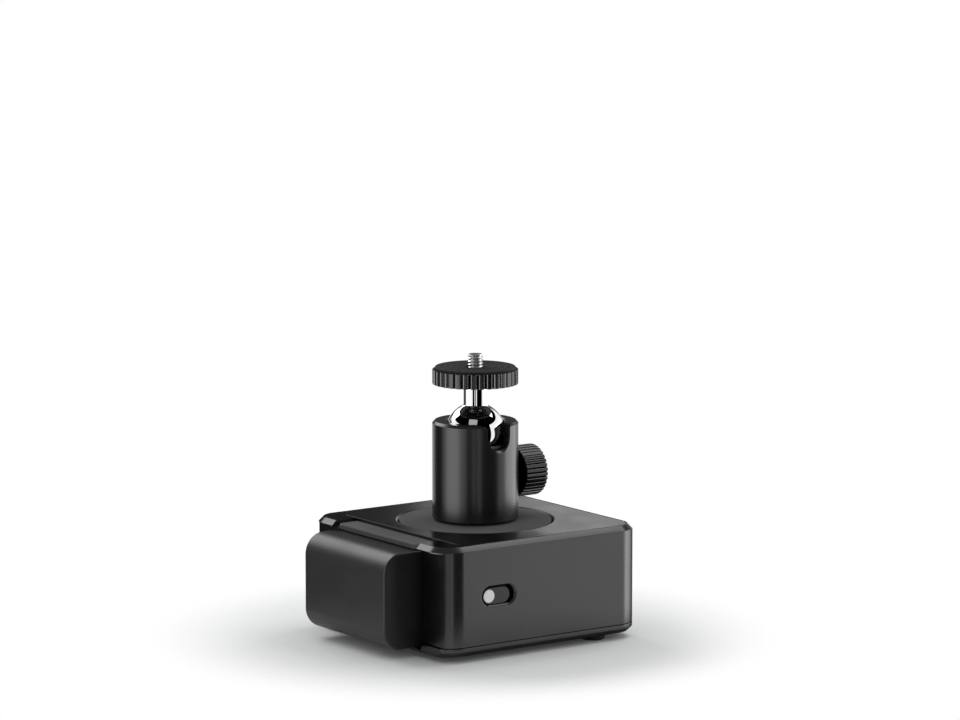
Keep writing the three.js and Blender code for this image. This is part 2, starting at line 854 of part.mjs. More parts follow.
function makeMainBoard() {
  const board = toSolid(block(boardLeft, boardRight, boardFront, boardBack,
    boardBottom, boardBottom + boardHeight));
  const holes = boardHoles().map(([x, z]) => acrossY(
    circle(screwRadius, smallSides, x, z), boardFront - overrun, boardBack + overrun));
  return cut(board, ...holes);
}

function makeRadioModule() {
  const x = boardLeft + boardPartsShares.radioAlong * boardWidth;
  const z = boardBottom + boardPartsShares.radioUp * boardHeight;
  return block(x, x + radioWidth, boardBack, boardBack + radioDepth, z, z + radioHeight);
}

function makeDriverChip() {
  const x = boardLeft + boardPartsShares.chipAlong * boardWidth;
  const z = boardBottom + boardPartsShares.chipUp * boardHeight;
  return block(x, x + chipWidth, boardBack, boardBack + chipDepth, z, z + chipWidth);
}

// Pan drive

function makeBearing() {
  const inner = bearingBore + fitGap;
  return turned(closedProfile([
    [inner, 0], [bearingOuter, 0], [bearingOuter, bearingWidth], [inner, bearingWidth],
  ]), midSides);
}

function makeMainShaft() {
  const studBore = headStudRadius + fitGap;
  const studFloor = top - headStudGrip - fitGap;
  return turned(closedProfile([
    [bearingBore - shaftWall, shaftBottom],
    [bearingBore, shaftBottom],
    [bearingBore, flangeUnderside],
    [shaftFlangeRadius, flangeUnderside],
    [shaftFlangeRadius, turntableUnderside],
    [studBore, turntableUnderside],
    [studBore, studFloor],
    [bearingBore - shaftWall, studFloor],
  ]), midSides);
}

function makeShaftNut() {
  const bottom = shaftBottom + shaftBelowNut;
  const nut = toSolid(rod(nutRadius, bottom, bottom + nutHeight, 6));
  return cut(nut, rod(bearingBore + fitGap, bottom - overrun, bottom + nutHeight + overrun));
}

function makeMainGear() {
  const gear = joined(
    prism(gearOutline(mainTeeth, driveAngle, 1), gearUnderside, flangeUnderside),
    rod(gearHubRadius, gearUnderside - gearHubLength, gearUnderside + gearThickness / 2));
  return cut(gear, rod(bearingBore + fitGap, gearUnderside - gearHubLength - overrun,
    flangeUnderside + overrun));
}

function makePinion() {
  const phase = driveAngle + Math.PI + Math.PI / pinionTeeth;
  return joined(
    prism(gearOutline(pinionTeeth, phase, 2), gearUnderside - pinionExtra, flangeUnderside + pinionExtra),
    rod(pinionStemRadius, frameUnderside + fitGap, gearUnderside, smallSides));
}

function makeTurntable() {
  const disc = toSolid(skin([
    { outline: circle(turntableRadius, bigSides), z: turntableUnderside },
    { outline: circle(turntableRadius, bigSides), z: top - fitGap },
    { outline: circle(turntableRadius - fitGap, bigSides), z: top },
  ]));
  return cut(disc, rod(headStudRadius + fitGap, turntableUnderside - overrun, top + overrun));
}

function pillarCentres() {
  return rectangle(frameLeft + pillarInset, frameRight - pillarInset,
    frameFront + pillarInset, frameBack - pillarInset);
}

function makeDriveFrame() {
  const outline = roundedRectangle(frameLeft, frameRight, frameFront, frameBack, frameRound);
  const seatRing = bearingOuter + fitGap + frameSeatWall;
  const frame = joined(
    prism(outline, frameUnderside, frameTop),
    rod(seatRing, upperBearingBottom - bearingLip, upperBearingTop));
  const [, frontBoss, backBoss] = bossCentres();
  const bossRoom = [frontBoss, backBoss].map(([x, y]) => prism(
    circle(bossRadius + 2 * fitGap, midSides, x, y), frameUnderside - overrun, frameTop + overrun));
  const screwHoles = pillarCentres().map(([x, y]) => prism(
    circle(screwRadius + fitGap, smallSides, x, y), frameUnderside - overrun, frameTop + overrun));
  return cut(frame,
    rod(bearingOuter + fitGap, upperBearingBottom, upperBearingTop + overrun),
    rod(bearingOuter - bearingRace, upperBearingBottom - bearingLip - overrun, upperBearingTop),
    prism(circle(pinionStemRadius + 2 * fitGap, smallSides, motorX, motorY),
      frameUnderside - overrun, frameTop + overrun),
    ...bossRoom, ...screwHoles);
}

function makePillar() {
  const pillar = toSolid(rod(pillarRadius, plateTop, frameUnderside, 6));
  return cut(pillar, rod(screwRadius + fitGap, frameUnderside - screwLength, frameUnderside + overrun,
    smallSides));
}

function makeFrameScrew() {
  const screw = joined(
    rod(screwHeadRadius, frameTop, frameTop + screwHeadHeight, smallSides),
    rod(screwRadius, frameUnderside - screwLength / 2, frameTop + screwHeadHeight / 2, smallSides));
  const socketFloor = frameTop + screwHeadHeight - socketDepth;
  return cut(screw, rod(socketRadius, socketFloor, socketFloor + socketDepth + overrun, 6));
}

function makeBearingTower() {
  const seat = bearingOuter + fitGap;
  const outer = seat + towerWall;
  const inner = nutRadius + fitGap;
  return turned(closedProfile([
    [inner, plateTop],
    [towerFlangeRadius, plateTop],
    [towerFlangeRadius, plateTop + towerFlangeThickness],
    [outer, plateTop + towerFlangeThickness],
    [outer, lowerBearingBottom + bearingWidth],
    [seat, lowerBearingBottom + bearingWidth],
    [seat, lowerBearingBottom],
    [inner, lowerBearingBottom],
  ]), midSides);
}

function makeGearbox() {
  return rod(gearboxRadius, motorTop, frameUnderside);
}

function makeMotor() {
  return joined(
    rod(motorRadius, motorBottom, motorTop),
    rod(motorBossRadius, motorBottom - motorBossLength, motorTop, smallSides));
}

// A lead along hand-picked points, in the frame of the pan axis
function makeLead(points) {
  const path = new THREE.CatmullRomCurve3(points.map((point) => new THREE.Vector3(...point)));
  const section = new THREE.Shape(circle(leadRadius, leadSides).map(([x, y]) => new THREE.Vector2(x, y)));
  return new THREE.ExtrudeGeometry(section, { steps: leadSteps, extrudePath: path, bevelEnabled: false });
}

// The leads run from the battery contacts and from the motor to the back of the main board
function batteryLeadPoints() {
  const startX = bayInner + terminalTail + 2 * fitGap;
  const endX = boardLeft + boardBossInset;
  const level = contactLevel;
  return [
    [startX, 0, level],
    [startX + leadRadius, 0, level],
    [endX - leadRadius, bayFront / 2, level],
    [endX - leadRadius, bayFront, level],
    [endX, boardBack + 2 * leadRadius, level],
    [endX, boardBack + fitGap, level],
  ];
}

function motorLeadPoints() {
  const level = motorBottom + leadRadius;
  const startY = motorY - motorRadius - fitGap;
  const endX = boardRight - 2 * boardBossInset;
  return [
    [motorX, startY, level],
    [motorX, startY - leadRadius, level],
    [towerFlangeRadius + 2 * motorBossRadius, 0, level],
    [towerFlangeRadius + 2 * motorBossRadius, -towerFlangeRadius, level],
    [endX, boardBack + 2 * leadRadius, level + leadRadius],
    [endX, boardBack + fitGap, level + leadRadius],
  ];
}

// Ball head, drawn above the turntable

function makeHeadWasher() {
  return turned(closedProfile([
    [headStudRadius + fitGap, 0],
    [washerRadius, 0],
    [washerRadius, washerThickness],
    [headStudRadius + fitGap, washerThickness],
  ]), bigSides);
}

function makeHeadStud() {
  const start = -headStudGrip;
  const end = headStudTop;
  return skin([
    { outline: circle(headStudRadius - edgeBevel, midSides), z: start },
    { outline: circle(headStudRadius, midSides), z: start + edgeBevel },
    { outline: circle(headStudRadius, midSides), z: end - edgeBevel },
    { outline: circle(headStudRadius - edgeBevel, midSides), z: end },
  ]);
}

function notchOutline(halfWidth) {
  const quarter = Math.PI / 2;
  const above = columnTop + overrun;
  return [
    ...arc(0, ballCentre, halfWidth, 2 * quarter, 4 * quarter, 2 * cornerSteps),
    [halfWidth, above],
    [-halfWidth, above],
  ];
}

function makeBallHeadBody() {
  const column = toSolid(skin([
    { outline: circle(columnRadius - columnFootBevel, bigSides), z: washerThickness },
    { outline: circle(columnRadius, bigSides), z: washerThickness + columnFootBevel },
    { outline: circle(columnRadius, bigSides), z: columnTop - columnTopBevel },
    { outline: circle(columnRadius - columnTopBevel, bigSides), z: columnTop },
  ]));
  const rimLow = rimAboveBall - rimChamfer;
  const rimRadius = Math.sqrt(seatRadius ** 2 - rimLow ** 2);
  const rim = skin([
    { outline: circle(rimRadius, midSides), z: columnTop - rimChamfer },
    { outline: circle(rimRadius + rimChamfer + overrun, midSides), z: columnTop + overrun },
  ]);
  const notch = acrossY(notchOutline(notchHalfWidth), -columnRadius - overrun, 0);
  const flare = skin([
    { outline: notchOutline(notchHalfWidth), z: columnRadius - 2 * notchChamfer },
    { outline: notchOutline(notchHalfWidth + 2 * notchChamfer), z: columnRadius },
    { outline: notchOutline(notchHalfWidth + 2 * notchChamfer), z: columnRadius + overrun },
  ]).rotateX(Math.PI / 2);
  const screwBore = alongX(rod(lockScrewRadius + fitGap, 0, columnRadius + overrun))
    .translate(0, 0, knobLevel);
  return cut(column,
    rod(columnBore, washerThickness - overrun, ballCentre),
    ball(seatRadius).translate(0, 0, ballCentre),
    rim, notch, flare, screwBore);
}

function makeBodyPlug() {
  const plug = toSolid(rod(columnBore - fitGap, washerThickness, plugTop));
  return cut(plug, rod(headStudRadius + fitGap, washerThickness - overrun, headStudTop + fitGap));
}

function makeBallCup() {
  const cup = toSolid(rod(columnBore - fitGap, cupUnderside, ballCentre - cupRimBelowBall));
  return cut(cup, ball(cupSeatRadius).translate(0, 0, ballCentre));
}

// Drawn round the ball's centre

function makeBallLiner() {
  const bend = (radius, from, to) => arc(0, 0, radius, from, to, bendSteps)
    .map(([z, r]) => [r, z]);
  return turned(closedProfile([
    ...bend(linerOuter, linerStart, linerEnd),
    ...bend(seatRadius, linerEnd, linerStart),
  ]), midSides);
}

function makeBallStem() {
  const end = platformAboveBall + neckGrip;
  const neck = skin([
    { outline: circle(neckRadius, midSides), z: 0 },
    { outline: circle(neckRadius, midSides), z: end - edgeBevel },
    { outline: circle(neckRadius - edgeBevel, midSides), z: end },
  ]);
  return joined(ball(ballRadius), neck);
}

function makeCameraPlatform() {
  const bottom = platformAboveBall;
  const upper = platformAboveBall + platformThickness;
  const edge = fluted(platformRadius, fluteDepth, platformFlutes);
  const bevelled = fluted(platformRadius - platformBevel, fluteDepth, platformFlutes);
  const disc = toSolid(skin([
    { outline: bevelled, z: bottom },
    { outline: edge, z: bottom + platformBevel },
    { outline: edge, z: upper - platformBevel },
    { outline: bevelled, z: upper },
  ]));
  return cut(disc,
    rod(neckRadius + fitGap, bottom - overrun, bottom + neckGrip + fitGap),
    rod(cameraStudRadius + fitGap, bottom, upper + overrun));
}

function makePlatformPad() {
  const bottom = platformAboveBall + platformThickness;
  const radius = platformRadius - padInset;
  return turned(closedProfile([
    [cameraStudRadius + 2 * fitGap, bottom],
    [radius, bottom],
    [radius, bottom + padThickness],
    [cameraStudRadius + 2 * fitGap, bottom + padThickness],
  ]), bigSides);
}

function makeCameraStud() {
  const start = platformAboveBall + neckGrip + 2 * fitGap;
  const end = platformAboveBall + platformThickness + padThickness + cameraStudReach;
  return skin([
    { outline: circle(cameraStudRadius, midSides), z: start },
    { outline: circle(cameraStudRadius, midSides), z: end - cameraStudBevel },
    { outline: circle(cameraStudRadius - cameraStudBevel, midSides), z: end },
  ]);
}

// Drawn round the lock screw's axis

function makeLockKnob() {
  const inner = columnRadius + knobGap;
  const outer = inner + knobLength;
  const outline = (inset) => fluted(knobRadius - inset, knobFluteDepth, knobFlutes);
  const knob = toSolid(alongX(skin([
    { outline: outline(knobInnerBevel), z: inner },
    { outline: outline(0), z: inner + knobInnerBevel },
    { outline: outline(0), z: outer - knobOuterBevel },
    { outline: outline(knobOuterBevel), z: outer },
  ])));
  return cut(knob, alongX(rod(lockScrewRadius + fitGap, inner - overrun, inner + lockScrewInKnob + fitGap)));
}

function makeLockScrew() {
  const end = columnRadius + knobGap + lockScrewInKnob;
  return alongX(skin([
    { outline: circle(lockScrewRadius - edgeBevel, midSides), z: lockScrewTip },
    { outline: circle(lockScrewRadius, midSides), z: lockScrewTip + edgeBevel },
    { outline: circle(lockScrewRadius, midSides), z: end },
  ]));
}

function makeBrakePin() {
  const end = lockScrewTip - fitGap;
  const start = end - brakePinLength;
  return alongX(skin([
    { outline: circle(brakePinRadius / 2, smallSides), z: start },
    { outline: circle(brakePinRadius, smallSides), z: start + brakePinCone },
    { outline: circle(brakePinRadius, smallSides), z: end },
  ]));
}

// The assembly, grouped as the pieces move

const base = groupAt(0, 0, 0,
  mesh('housing', makeHousing(), blackAnodised),
  mesh('top_cover', makeTopCover(), blackAnodised),
  mesh('base_plate', makeBasePlate(), blackAnodised),
  mesh('tripod_insert', makeTripodInsert(), steel),
  mesh('battery_dock', makeBatteryDock(), blackPlastic),
  mesh('latch_spring', makeLatchSpring(), steel),
  mesh('main_board', makeMainBoard(), boardGreen),
  mesh('radio_module', makeRadioModule(), canSilver),
  mesh('driver_chip', makeDriverChip(), blackPlastic),
  mesh('slide_switch', makeSlideSwitch(), blackPlastic),
  mesh('drive_frame', makeDriveFrame(), plainAluminium),
  mesh('bearing_tower', makeBearingTower(), plainAluminium),
  groupAt(0, 0, upperBearingBottom, mesh('upper_bearing', makeBearing(), steel)),
  groupAt(0, 0, lowerBearingBottom, mesh('lower_bearing', makeBearing(), steel)),
  mesh('battery_lead', makeLead(batteryLeadPoints()), leadBlack),
  mesh('motor_lead', makeLead(motorLeadPoints()), leadBlack));

footCentres().forEach(([x, y], i) => {
  base.add(groupAt(x, y, 0, mesh(`foot_${i + 1}`, makeFoot(), blackRubber)));
});
bossCentres().forEach(([x, y], i) => {
  const level = footHeight + screwHeadHeight + screwHeadSink;
  base.add(groupAt(x, y, level, mesh(`base_screw_${i + 1}`, makeBaseScrew(), steel)));
});
pillarCentres().forEach(([x, y], i) => {
  base.add(groupAt(x, y, 0,
    mesh(`frame_pillar_${i + 1}`, makePillar(), plainAluminium),
    mesh(`frame_screw_${i + 1}`, makeFrameScrew(), steel)));
});
terminalPlaces().forEach((y, i) => {
  base.add(groupAt(0, y, 0, mesh(`battery_terminal_${i + 1}`, makeTerminal(), brass)));
});

const drive = groupAt(motorX, motorY, 0,
  mesh('motor', makeMotor(), canSilver),
  mesh('gearbox', makeGearbox(), steel),
  mesh('motor_pinion', makePinion(), brass));

const batterySide = groupAt(0, 0, 0,
  mesh('battery', makeBattery(), blackPlastic),
  mesh('latch_bar', makeLatchBar(), blackAnodised));

const powerSwitch = groupAt(0, 0, 0,
  mesh('power_slider', makePowerSlider(), blackPlastic),
  mesh('status_lens', makeStatusLens(), whitePlastic));

const lock = groupAt(0, 0, knobLevel,
  mesh('lock_knob', makeLockKnob(), blackAnodised),
  mesh('lock_screw', makeLockScrew(), steel),
  mesh('brake_pin', makeBrakePin(), steel));

const cameraEnd = groupAt(0, 0, ballCentre,
  mesh('ball_liner', makeBallLiner(), greyNylon),
  mesh('ball_stem', makeBallStem(), chrome),
  mesh('camera_platform', makeCameraPlatform(), blackAnodised),
  mesh('platform_pad', makePlatformPad(), blackRubber),
  mesh('camera_stud', makeCameraStud(), steel));

const ballHead = groupAt(0, 0, top,
  mesh('head_washer', makeHeadWasher(), blackRubber),
  mesh('head_stud', makeHeadStud(), steel),
  mesh('ball_head_body', makeBallHeadBody(), blackGloss),
  mesh('body_plug', makeBodyPlug(), plainAluminium),
  mesh('ball_cup', makeBallCup(), greyNylon),
  lock,
  cameraEnd);

const turningPart = groupAt(0, 0, 0,
  mesh('turntable', makeTurntable(), blackAnodised),
  mesh('main_shaft', makeMainShaft(), steel),
  mesh('main_gear', makeMainGear(), brass),
  mesh('shaft_nut', makeShaftNut(), steel),
  ballHead);

const panHead = groupAt(-(batteryOuter + right) / 2, -(front + back) / 2, 0,
  base, drive, batterySide, powerSwitch, turningPart);

export default panHead;
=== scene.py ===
import math

import bmesh
import bpy
from mathutils import Matrix, Vector


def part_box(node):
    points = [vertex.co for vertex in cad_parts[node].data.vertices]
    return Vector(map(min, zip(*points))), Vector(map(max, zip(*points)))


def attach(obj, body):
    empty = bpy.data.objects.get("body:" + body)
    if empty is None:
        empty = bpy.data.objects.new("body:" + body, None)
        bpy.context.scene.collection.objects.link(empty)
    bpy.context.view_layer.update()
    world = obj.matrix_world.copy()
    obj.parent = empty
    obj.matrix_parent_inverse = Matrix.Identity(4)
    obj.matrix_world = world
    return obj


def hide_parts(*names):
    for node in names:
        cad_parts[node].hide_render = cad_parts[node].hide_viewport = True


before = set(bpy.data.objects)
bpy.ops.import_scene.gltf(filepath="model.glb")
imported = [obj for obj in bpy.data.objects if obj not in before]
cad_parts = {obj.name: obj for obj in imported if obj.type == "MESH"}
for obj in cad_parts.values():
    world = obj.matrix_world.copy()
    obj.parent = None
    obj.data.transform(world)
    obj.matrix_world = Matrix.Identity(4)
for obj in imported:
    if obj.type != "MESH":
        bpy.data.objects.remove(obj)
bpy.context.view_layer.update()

# Lengths are millimetres in the pan axis's own frame: x and y from the axis, z from the floor
MM = 0.001
X, Y, Z = range(3)
low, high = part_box("turntable")
AXIS = Vector(((low.x + high.x) / 2, (low.y + high.y) / 2, 0))
TOP = high.z / MM
QUARTER = math.pi / 2
GAP = 0.3
OVERRUN = 1


# Places and sizes that follow the CAD pieces

def span(name, axis):
    """Where a CAD piece starts and ends along one axis."""
    return tuple(round((corner[axis] - AXIS[axis]) / MM, 3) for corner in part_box(name))


def centre(name, axis):
    return sum(span(name, axis)) / 2


def radius_of(name):
    """The radius of a round piece on the pan axis."""
    return span(name, X)[1]


def spots(kind):
    """Where the four pieces of one kind stand."""
    return [(centre(f"{kind}_{i}", X), centre(f"{kind}_{i}", Y)) for i in range(1, 5)]


# Housing, its cover and the bay for the battery
LEFT, RIGHT = span("housing", X)
FRONT, BACK = span("housing", Y)
CORNER_R = 10.5
WALL = 4.0
TOP_CHAMFER = 2.0
INNER_RIGHT, INNER_FRONT, INNER_BACK = RIGHT - WALL, FRONT + WALL, BACK - WALL
COVER_LEFT, COVER_RIGHT = span("top_cover", X)
COVER_MARGIN, COVER_T = RIGHT - COVER_RIGHT, 2.5
DOCK_FRONT, DOCK_BACK = span("battery_dock", Y)
DOCK_MARGIN = 1.0
BAY_FACE = span("battery_dock", X)[1]
BAY_INNER = BAY_FACE + WALL
BAY_FRONT, BAY_BACK = DOCK_FRONT - DOCK_MARGIN, DOCK_BACK + DOCK_MARGIN
SLOT_X, SLOT_Z = centre("slide_switch", X), centre("slide_switch", Z)
SLOT_LENGTH, SLOT_HEIGHT = 15.4, 7.2
CONTACT_Z = centre("battery_terminal_2", Z)
BOARD_X, BOARD_Z = span("main_board", X), span("main_board", Z)

# Base plate and what it carries
PLATE_LEFT = span("base_plate", X)[0]
PLATE_BOTTOM, PLATE_TOP = span("base_plate", Z)
UNDER_PLATE, OVER_PLATE, IN_HOUSING = 1.0, 8.0, 5.0
FEET, POSTS = spots("foot"), spots("base_screw")
FOOT_R, FOOT_TOP = 5.0, span("foot_1", Z)[1]
HEAD_R, HEAD_SEAT, HEAD_FACE = 2.8, 4.5, span("base_screw_1", Z)[0]
SCREW_HOLE_R = 1.8
INSERT_R, FLANGE_R = 8.0, radius_of("tripod_insert")
FLANGE_TOP, INSERT_TOP = 4.0, 12.5

# Battery and latch bar
BATTERY_X, BATTERY_Y, BATTERY_Z = (span("battery", axis) for axis in (X, Y, Z))
BAR_SEAT = BATTERY_Z[1]
BAR_LEFT, BAR_RIGHT = span("latch_bar", X)
BAR_FRONT, BAR_BACK = span("latch_bar", Y)
TONGUE_BOTTOM, BAR_TOP = span("latch_bar", Z)
TONGUE_X, TONGUE_Y = (-39.2, -38.0), (-8.55, 11.45)

# Slider and lens, at rest
SLIDER_X, LENS_X = centre("power_slider", X), centre("status_lens", X)
SLIDER_FRONT, PEG_BACK = span("power_slider", Y)
LENS_FLOOR = -span("status_lens", Y)[1]
LENS_R, LENS_HOLE_R = 2.65, 2.75

# Turntable and ball head
DISC_R, WASHER_R, COLUMN_R = radius_of("turntable"), radius_of("head_washer"), radius_of("ball_head_body")
OPENING_R = DISC_R + GAP
WASHER_T = 0.6
SHAFT_HOLE_R = 5.06
COLUMN_TOP = span("ball_head_body", Z)[1]
BALL_BOTTOM, STEM_TOP = span("ball_stem", Z)
BALL_R, NECK_R = radius_of("ball_stem"), 5.0
BALL_Z = BALL_BOTTOM + BALL_R
PLATFORM_R, PAD_R, STUD_R = radius_of("camera_platform"), radius_of("platform_pad"), radius_of("camera_stud")
PLATFORM_BOTTOM, PLATFORM_TOP = span("camera_platform", Z)
PAD_TOP = span("platform_pad", Z)[1]
STUD_BOTTOM, STUD_TOP = span("camera_stud", Z)
KNOB_NEAR, KNOB_FAR = span("lock_knob", X)
KNOB_R, KNOB_Z = span("lock_knob", Y)[1], centre("lock_screw", Z)
LOCK_START, LOCK_END = span("lock_screw", X)
LOCK_R = span("lock_screw", Y)[1]
LOCK_HOLE_R = LOCK_R + GAP
PLATFORM_RIDGES, KNOB_RIDGES = 33, 34


# Outlines

def arc(cx, cy, radius, start, end, steps):
    return [(cx + radius * math.cos(start + (end - start) * i / steps),
             cy + radius * math.sin(start + (end - start) * i / steps)) for i in range(steps + 1)]


def circle(radius, sides, cx=0.0, cy=0.0):
    return arc(cx, cy, radius, 0, 2 * math.pi, sides)[:-1]


def rounded(x0, x1, y0, y1, radii, steps=12):
    a, b, c, d = radii if isinstance(radii, tuple) else (radii,) * 4
    return (arc(x0 + a, y0 + a, a, 2 * QUARTER, 3 * QUARTER, steps)
            + arc(x1 - b, y0 + b, b, 3 * QUARTER, 4 * QUARTER, steps)
            + arc(x1 - c, y1 - c, c, 0, QUARTER, steps)
            + arc(x0 + d, y1 - d, d, QUARTER, 2 * QUARTER, steps))


def obround(cx, cy, length, height, steps=20):
    radius = height / 2
    reach = length / 2 - radius
    return (arc(cx + reach, cy, radius, -QUARTER, QUARTER, steps)
            + arc(cx - reach, cy, radius, QUARTER, 3 * QUARTER, steps))


def housing_outline(inset):
    return rounded(LEFT + inset, RIGHT - inset, FRONT + inset, BACK - inset, CORNER_R - inset)


def cover_outline(grown):
    margin = COVER_MARGIN - grown
    return rounded(COVER_LEFT - grown, RIGHT - margin, FRONT + margin, BACK - margin, CORNER_R - margin)


# One ridge of the knurling and the groove after it: share of the pitch, share of the depth, rubbed with a
# painted highlight or not
RIDGE_SHARES = [(0.0, 0.12, 1), (0.05, 0.02, 1), (0.12, 0.005, 0), (0.31, 0.0, 0), (0.50, 0.005, 0),
                (0.57, 0.02, 1), (0.62, 0.12, 1), (0.78, 0.94, 0), (0.815, 1.0, 0), (0.85, 0.94, 0)]


def knurl(radius, depth, count):
    """Straight knurling: flat ridges with eased corners and narrow V grooves between them."""
    points = []
    for i in range(count):
        for share, drop, _ in RIDGE_SHARES:
            angle = 2 * math.pi * (i + share) / count
            reach = radius - depth * drop
            points.append((reach * math.cos(angle), reach * math.sin(angle)))
    return points


def bend_line(cx, cz, radius, start, end, steps):
    """Profile points on a circle round (cx, cz), the angle measured from straight up towards +r."""
    return [(cx + radius * math.sin(start + (end - start) * i / steps),
             cz + radius * math.cos(start + (end - start) * i / steps)) for i in range(steps + 1)]


# Shapes: each helper returns vertices and faces, still in millimetres

def loft(layers):
    count = len(layers[0][0])
    verts = [(x, y, z) for outline, z in layers for x, y in outline]
    faces = []
    for layer in range(len(layers) - 1):
        for i in range(count):
            a, b = layer * count + i, layer * count + (i + 1) % count
            faces.append((a, b, b + count, a + count))
    last = (len(layers) - 1) * count
    faces.append(tuple(reversed(range(count))))
    faces.append(tuple(last + i for i in range(count)))
    return verts, faces


def prism(outline, z0, z1):
    return loft([(outline, z0), (outline, z1)])


def box(x0, x1, y0, y1, z0, z1):
    return prism([(x0, y0), (x1, y0), (x1, y1), (x0, y1)], z0, z1)


def rod(radius, z0, z1, sides=64, cx=0.0, cy=0.0):
    return prism(circle(radius, sides, cx, cy), z0, z1)


def lathe(profile, sides=96):
    """Turns (radius, z) points; the profile starts and ends on the axis, or closes on itself."""
    closed = profile[0][0] > 0
    turns = [(math.cos(2 * math.pi * i / sides), math.sin(2 * math.pi * i / sides)) for i in range(sides)]
    verts, rings = [], []
    for radius, z in profile:
        if radius <= 1e-9:
            rings.append([len(verts)] * sides)
            verts.append((0.0, 0.0, z))
        else:
            rings.append(list(range(len(verts), len(verts) + sides)))
            verts += [(radius * x, radius * y, z) for x, y in turns]
    faces = []
    pairs = list(zip(rings, rings[1:])) + ([(rings[-1], rings[0])] if closed else [])
    for lower, upper in pairs:
        for i in range(sides):
            j = (i + 1) % sides
            face = [lower[i], lower[j], upper[j], upper[i]]
            face = [v for k, v in enumerate(face) if v != face[k - 1]]
            if len(face) > 2:
                faces.append(tuple(face))
    return verts, faces


def threaded(major, depth, pitch, z0, z1, sides=48, lead=0.7):
    """A rod with a helical thread that fades out over a short lead at both ends."""
    per_pitch, flank = 10, 2.6
    steps = max(8, round((z1 - z0) / pitch * per_pitch))
    layers = []
    for k in range(steps + 1):
        z = z0 + (z1 - z0) * k / steps
        fade = max(0.0, min(1.0, (z - z0) / lead, (z1 - z) / lead))
        outline = []
        for i in range(sides):
            phase = (z / pitch - i / sides) % 1.0
            rise = max(0.0, 1 - abs(phase - 0.5) * flank)
            reach = major - depth + depth * rise * fade
            angle = 2 * math.pi * i / sides
            outline.append((reach * math.cos(angle), reach * math.sin(angle)))
        layers.append((outline, z))
    return loft(layers)


# Objects: from shapes to meshes in metres

ACROSS_Y = Matrix(((1, 0, 0, 0), (0, 0, -1, 0), (0, 1, 0, 0), (0, 0, 0, 1)))
ALONG_X = Matrix(((0, 0, 1, 0), (1, 0, 0, 0), (0, 1, 0, 0), (0, 0, 0, 1)))


def placed(shift):
    """The step from millimetres, moved by shift, to metres round the pan axis."""
    return Matrix.Translation(AXIS) @ Matrix.Scale(MM, 4) @ Matrix.Translation(Vector(shift))


def link(obj):
    bpy.context.scene.collection.objects.link(obj)
    return obj


def solid(name, shape, turn=None, shift=(0, 0, 0)):
    """Makes an object of vertices and faces; turn and shift place it."""
    verts, faces = shape
    mesh = bpy.data.meshes.new(name)
    mesh.from_pydata([tuple(v) for v in verts], [], faces)
    mesh.transform(placed(shift) @ turn if turn else placed(shift))
    work = bmesh.new()
    work.from_mesh(mesh)
    bmesh.ops.recalc_face_normals(work, faces=work.faces)
    work.to_mesh(mesh)
    work.free()
    return link(bpy.data.objects.new(name, mesh))


def across(name, shape):
    """A solid whose outline lies in x and z, and whose height runs forwards."""
    return solid(name, shape, ACROSS_Y)


def on_knob_axis(name, shape):
    """A solid turned round the knob's axis; its height runs to the right."""
    return solid(name, shape, ALONG_X, (0, 0, KNOB_Z))


def apply(obj):
    graph = bpy.context.evaluated_depsgraph_get()
    mesh = bpy.data.meshes.new_from_object(obj.evaluated_get(graph), depsgraph=graph)
    obj.modifiers.clear()
    old, obj.data = obj.data, mesh
    bpy.data.meshes.remove(old)


def combine(obj, operation, shapes):
    others = [s if isinstance(s, bpy.types.Object) else solid("tool", s) for s in shapes]
    for other in others:
        step = obj.modifiers.new(operation.lower(), "BOOLEAN")
        step.operation = operation
        step.solver = "EXACT"
        step.object = other
    apply(obj)
    for other in others:
        mesh = other.data
        bpy.data.objects.remove(other)
        bpy.data.meshes.remove(mesh)


def cut(obj, *shapes):
    combine(obj, "DIFFERENCE", shapes)


def join(obj, *shapes):
    combine(obj, "UNION", shapes)


def direction(edge):
    return (edge.verts[1].co - edge.verts[0].co).normalized()


def weigh_edges(mesh, width, hidden):
    """Marks the sharp outer edges for rounding, by less where a short edge beside one leaves little room."""
    sharp, alike, room_share, least_share = math.radians(35), 0.8, 0.45, 0.1
    work = bmesh.new()
    work.from_mesh(mesh)
    weight = work.edges.layers.float.new("bevel_weight_edge")
    for edge in work.edges:
        if edge.is_convex and edge.calc_face_angle() > sharp and not hidden(edge):
            along = direction(edge)
            room = min((other.calc_length() for vert in edge.verts for other in vert.link_edges
                        if other is not edge and abs(direction(other).dot(along)) < alike), default=width)
            share = min(1.0, room_share * room / width)
            edge[weight] = share if share > least_share else 0.0
    work.to_mesh(mesh)
    work.free()


def soften(obj, width=0.0, segments=2, smooth=32, hidden=lambda edge: False):
    """Rounds the sharp edges by a small radius, if one is given, and shades the rest smooth."""
    if width:
        weigh_edges(obj.data, width * MM, hidden)
        edge = obj.modifiers.new("edge", "BEVEL")
        edge.width = width * MM
        edge.segments = segments
        edge.limit_method = "WEIGHT"
        edge.use_clamp_overlap = False
        edge.miter_outer = "MITER_ARC"
        apply(obj)
    mesh = obj.data
    mesh.polygons.foreach_set("use_smooth", [True] * len(mesh.polygons))
    mesh.set_sharp_from_angle(angle=math.radians(smooth))
    weigh = obj.modifiers.new("weigh", "WEIGHTED_NORMAL")
    weigh.keep_sharp = True
    apply(obj)


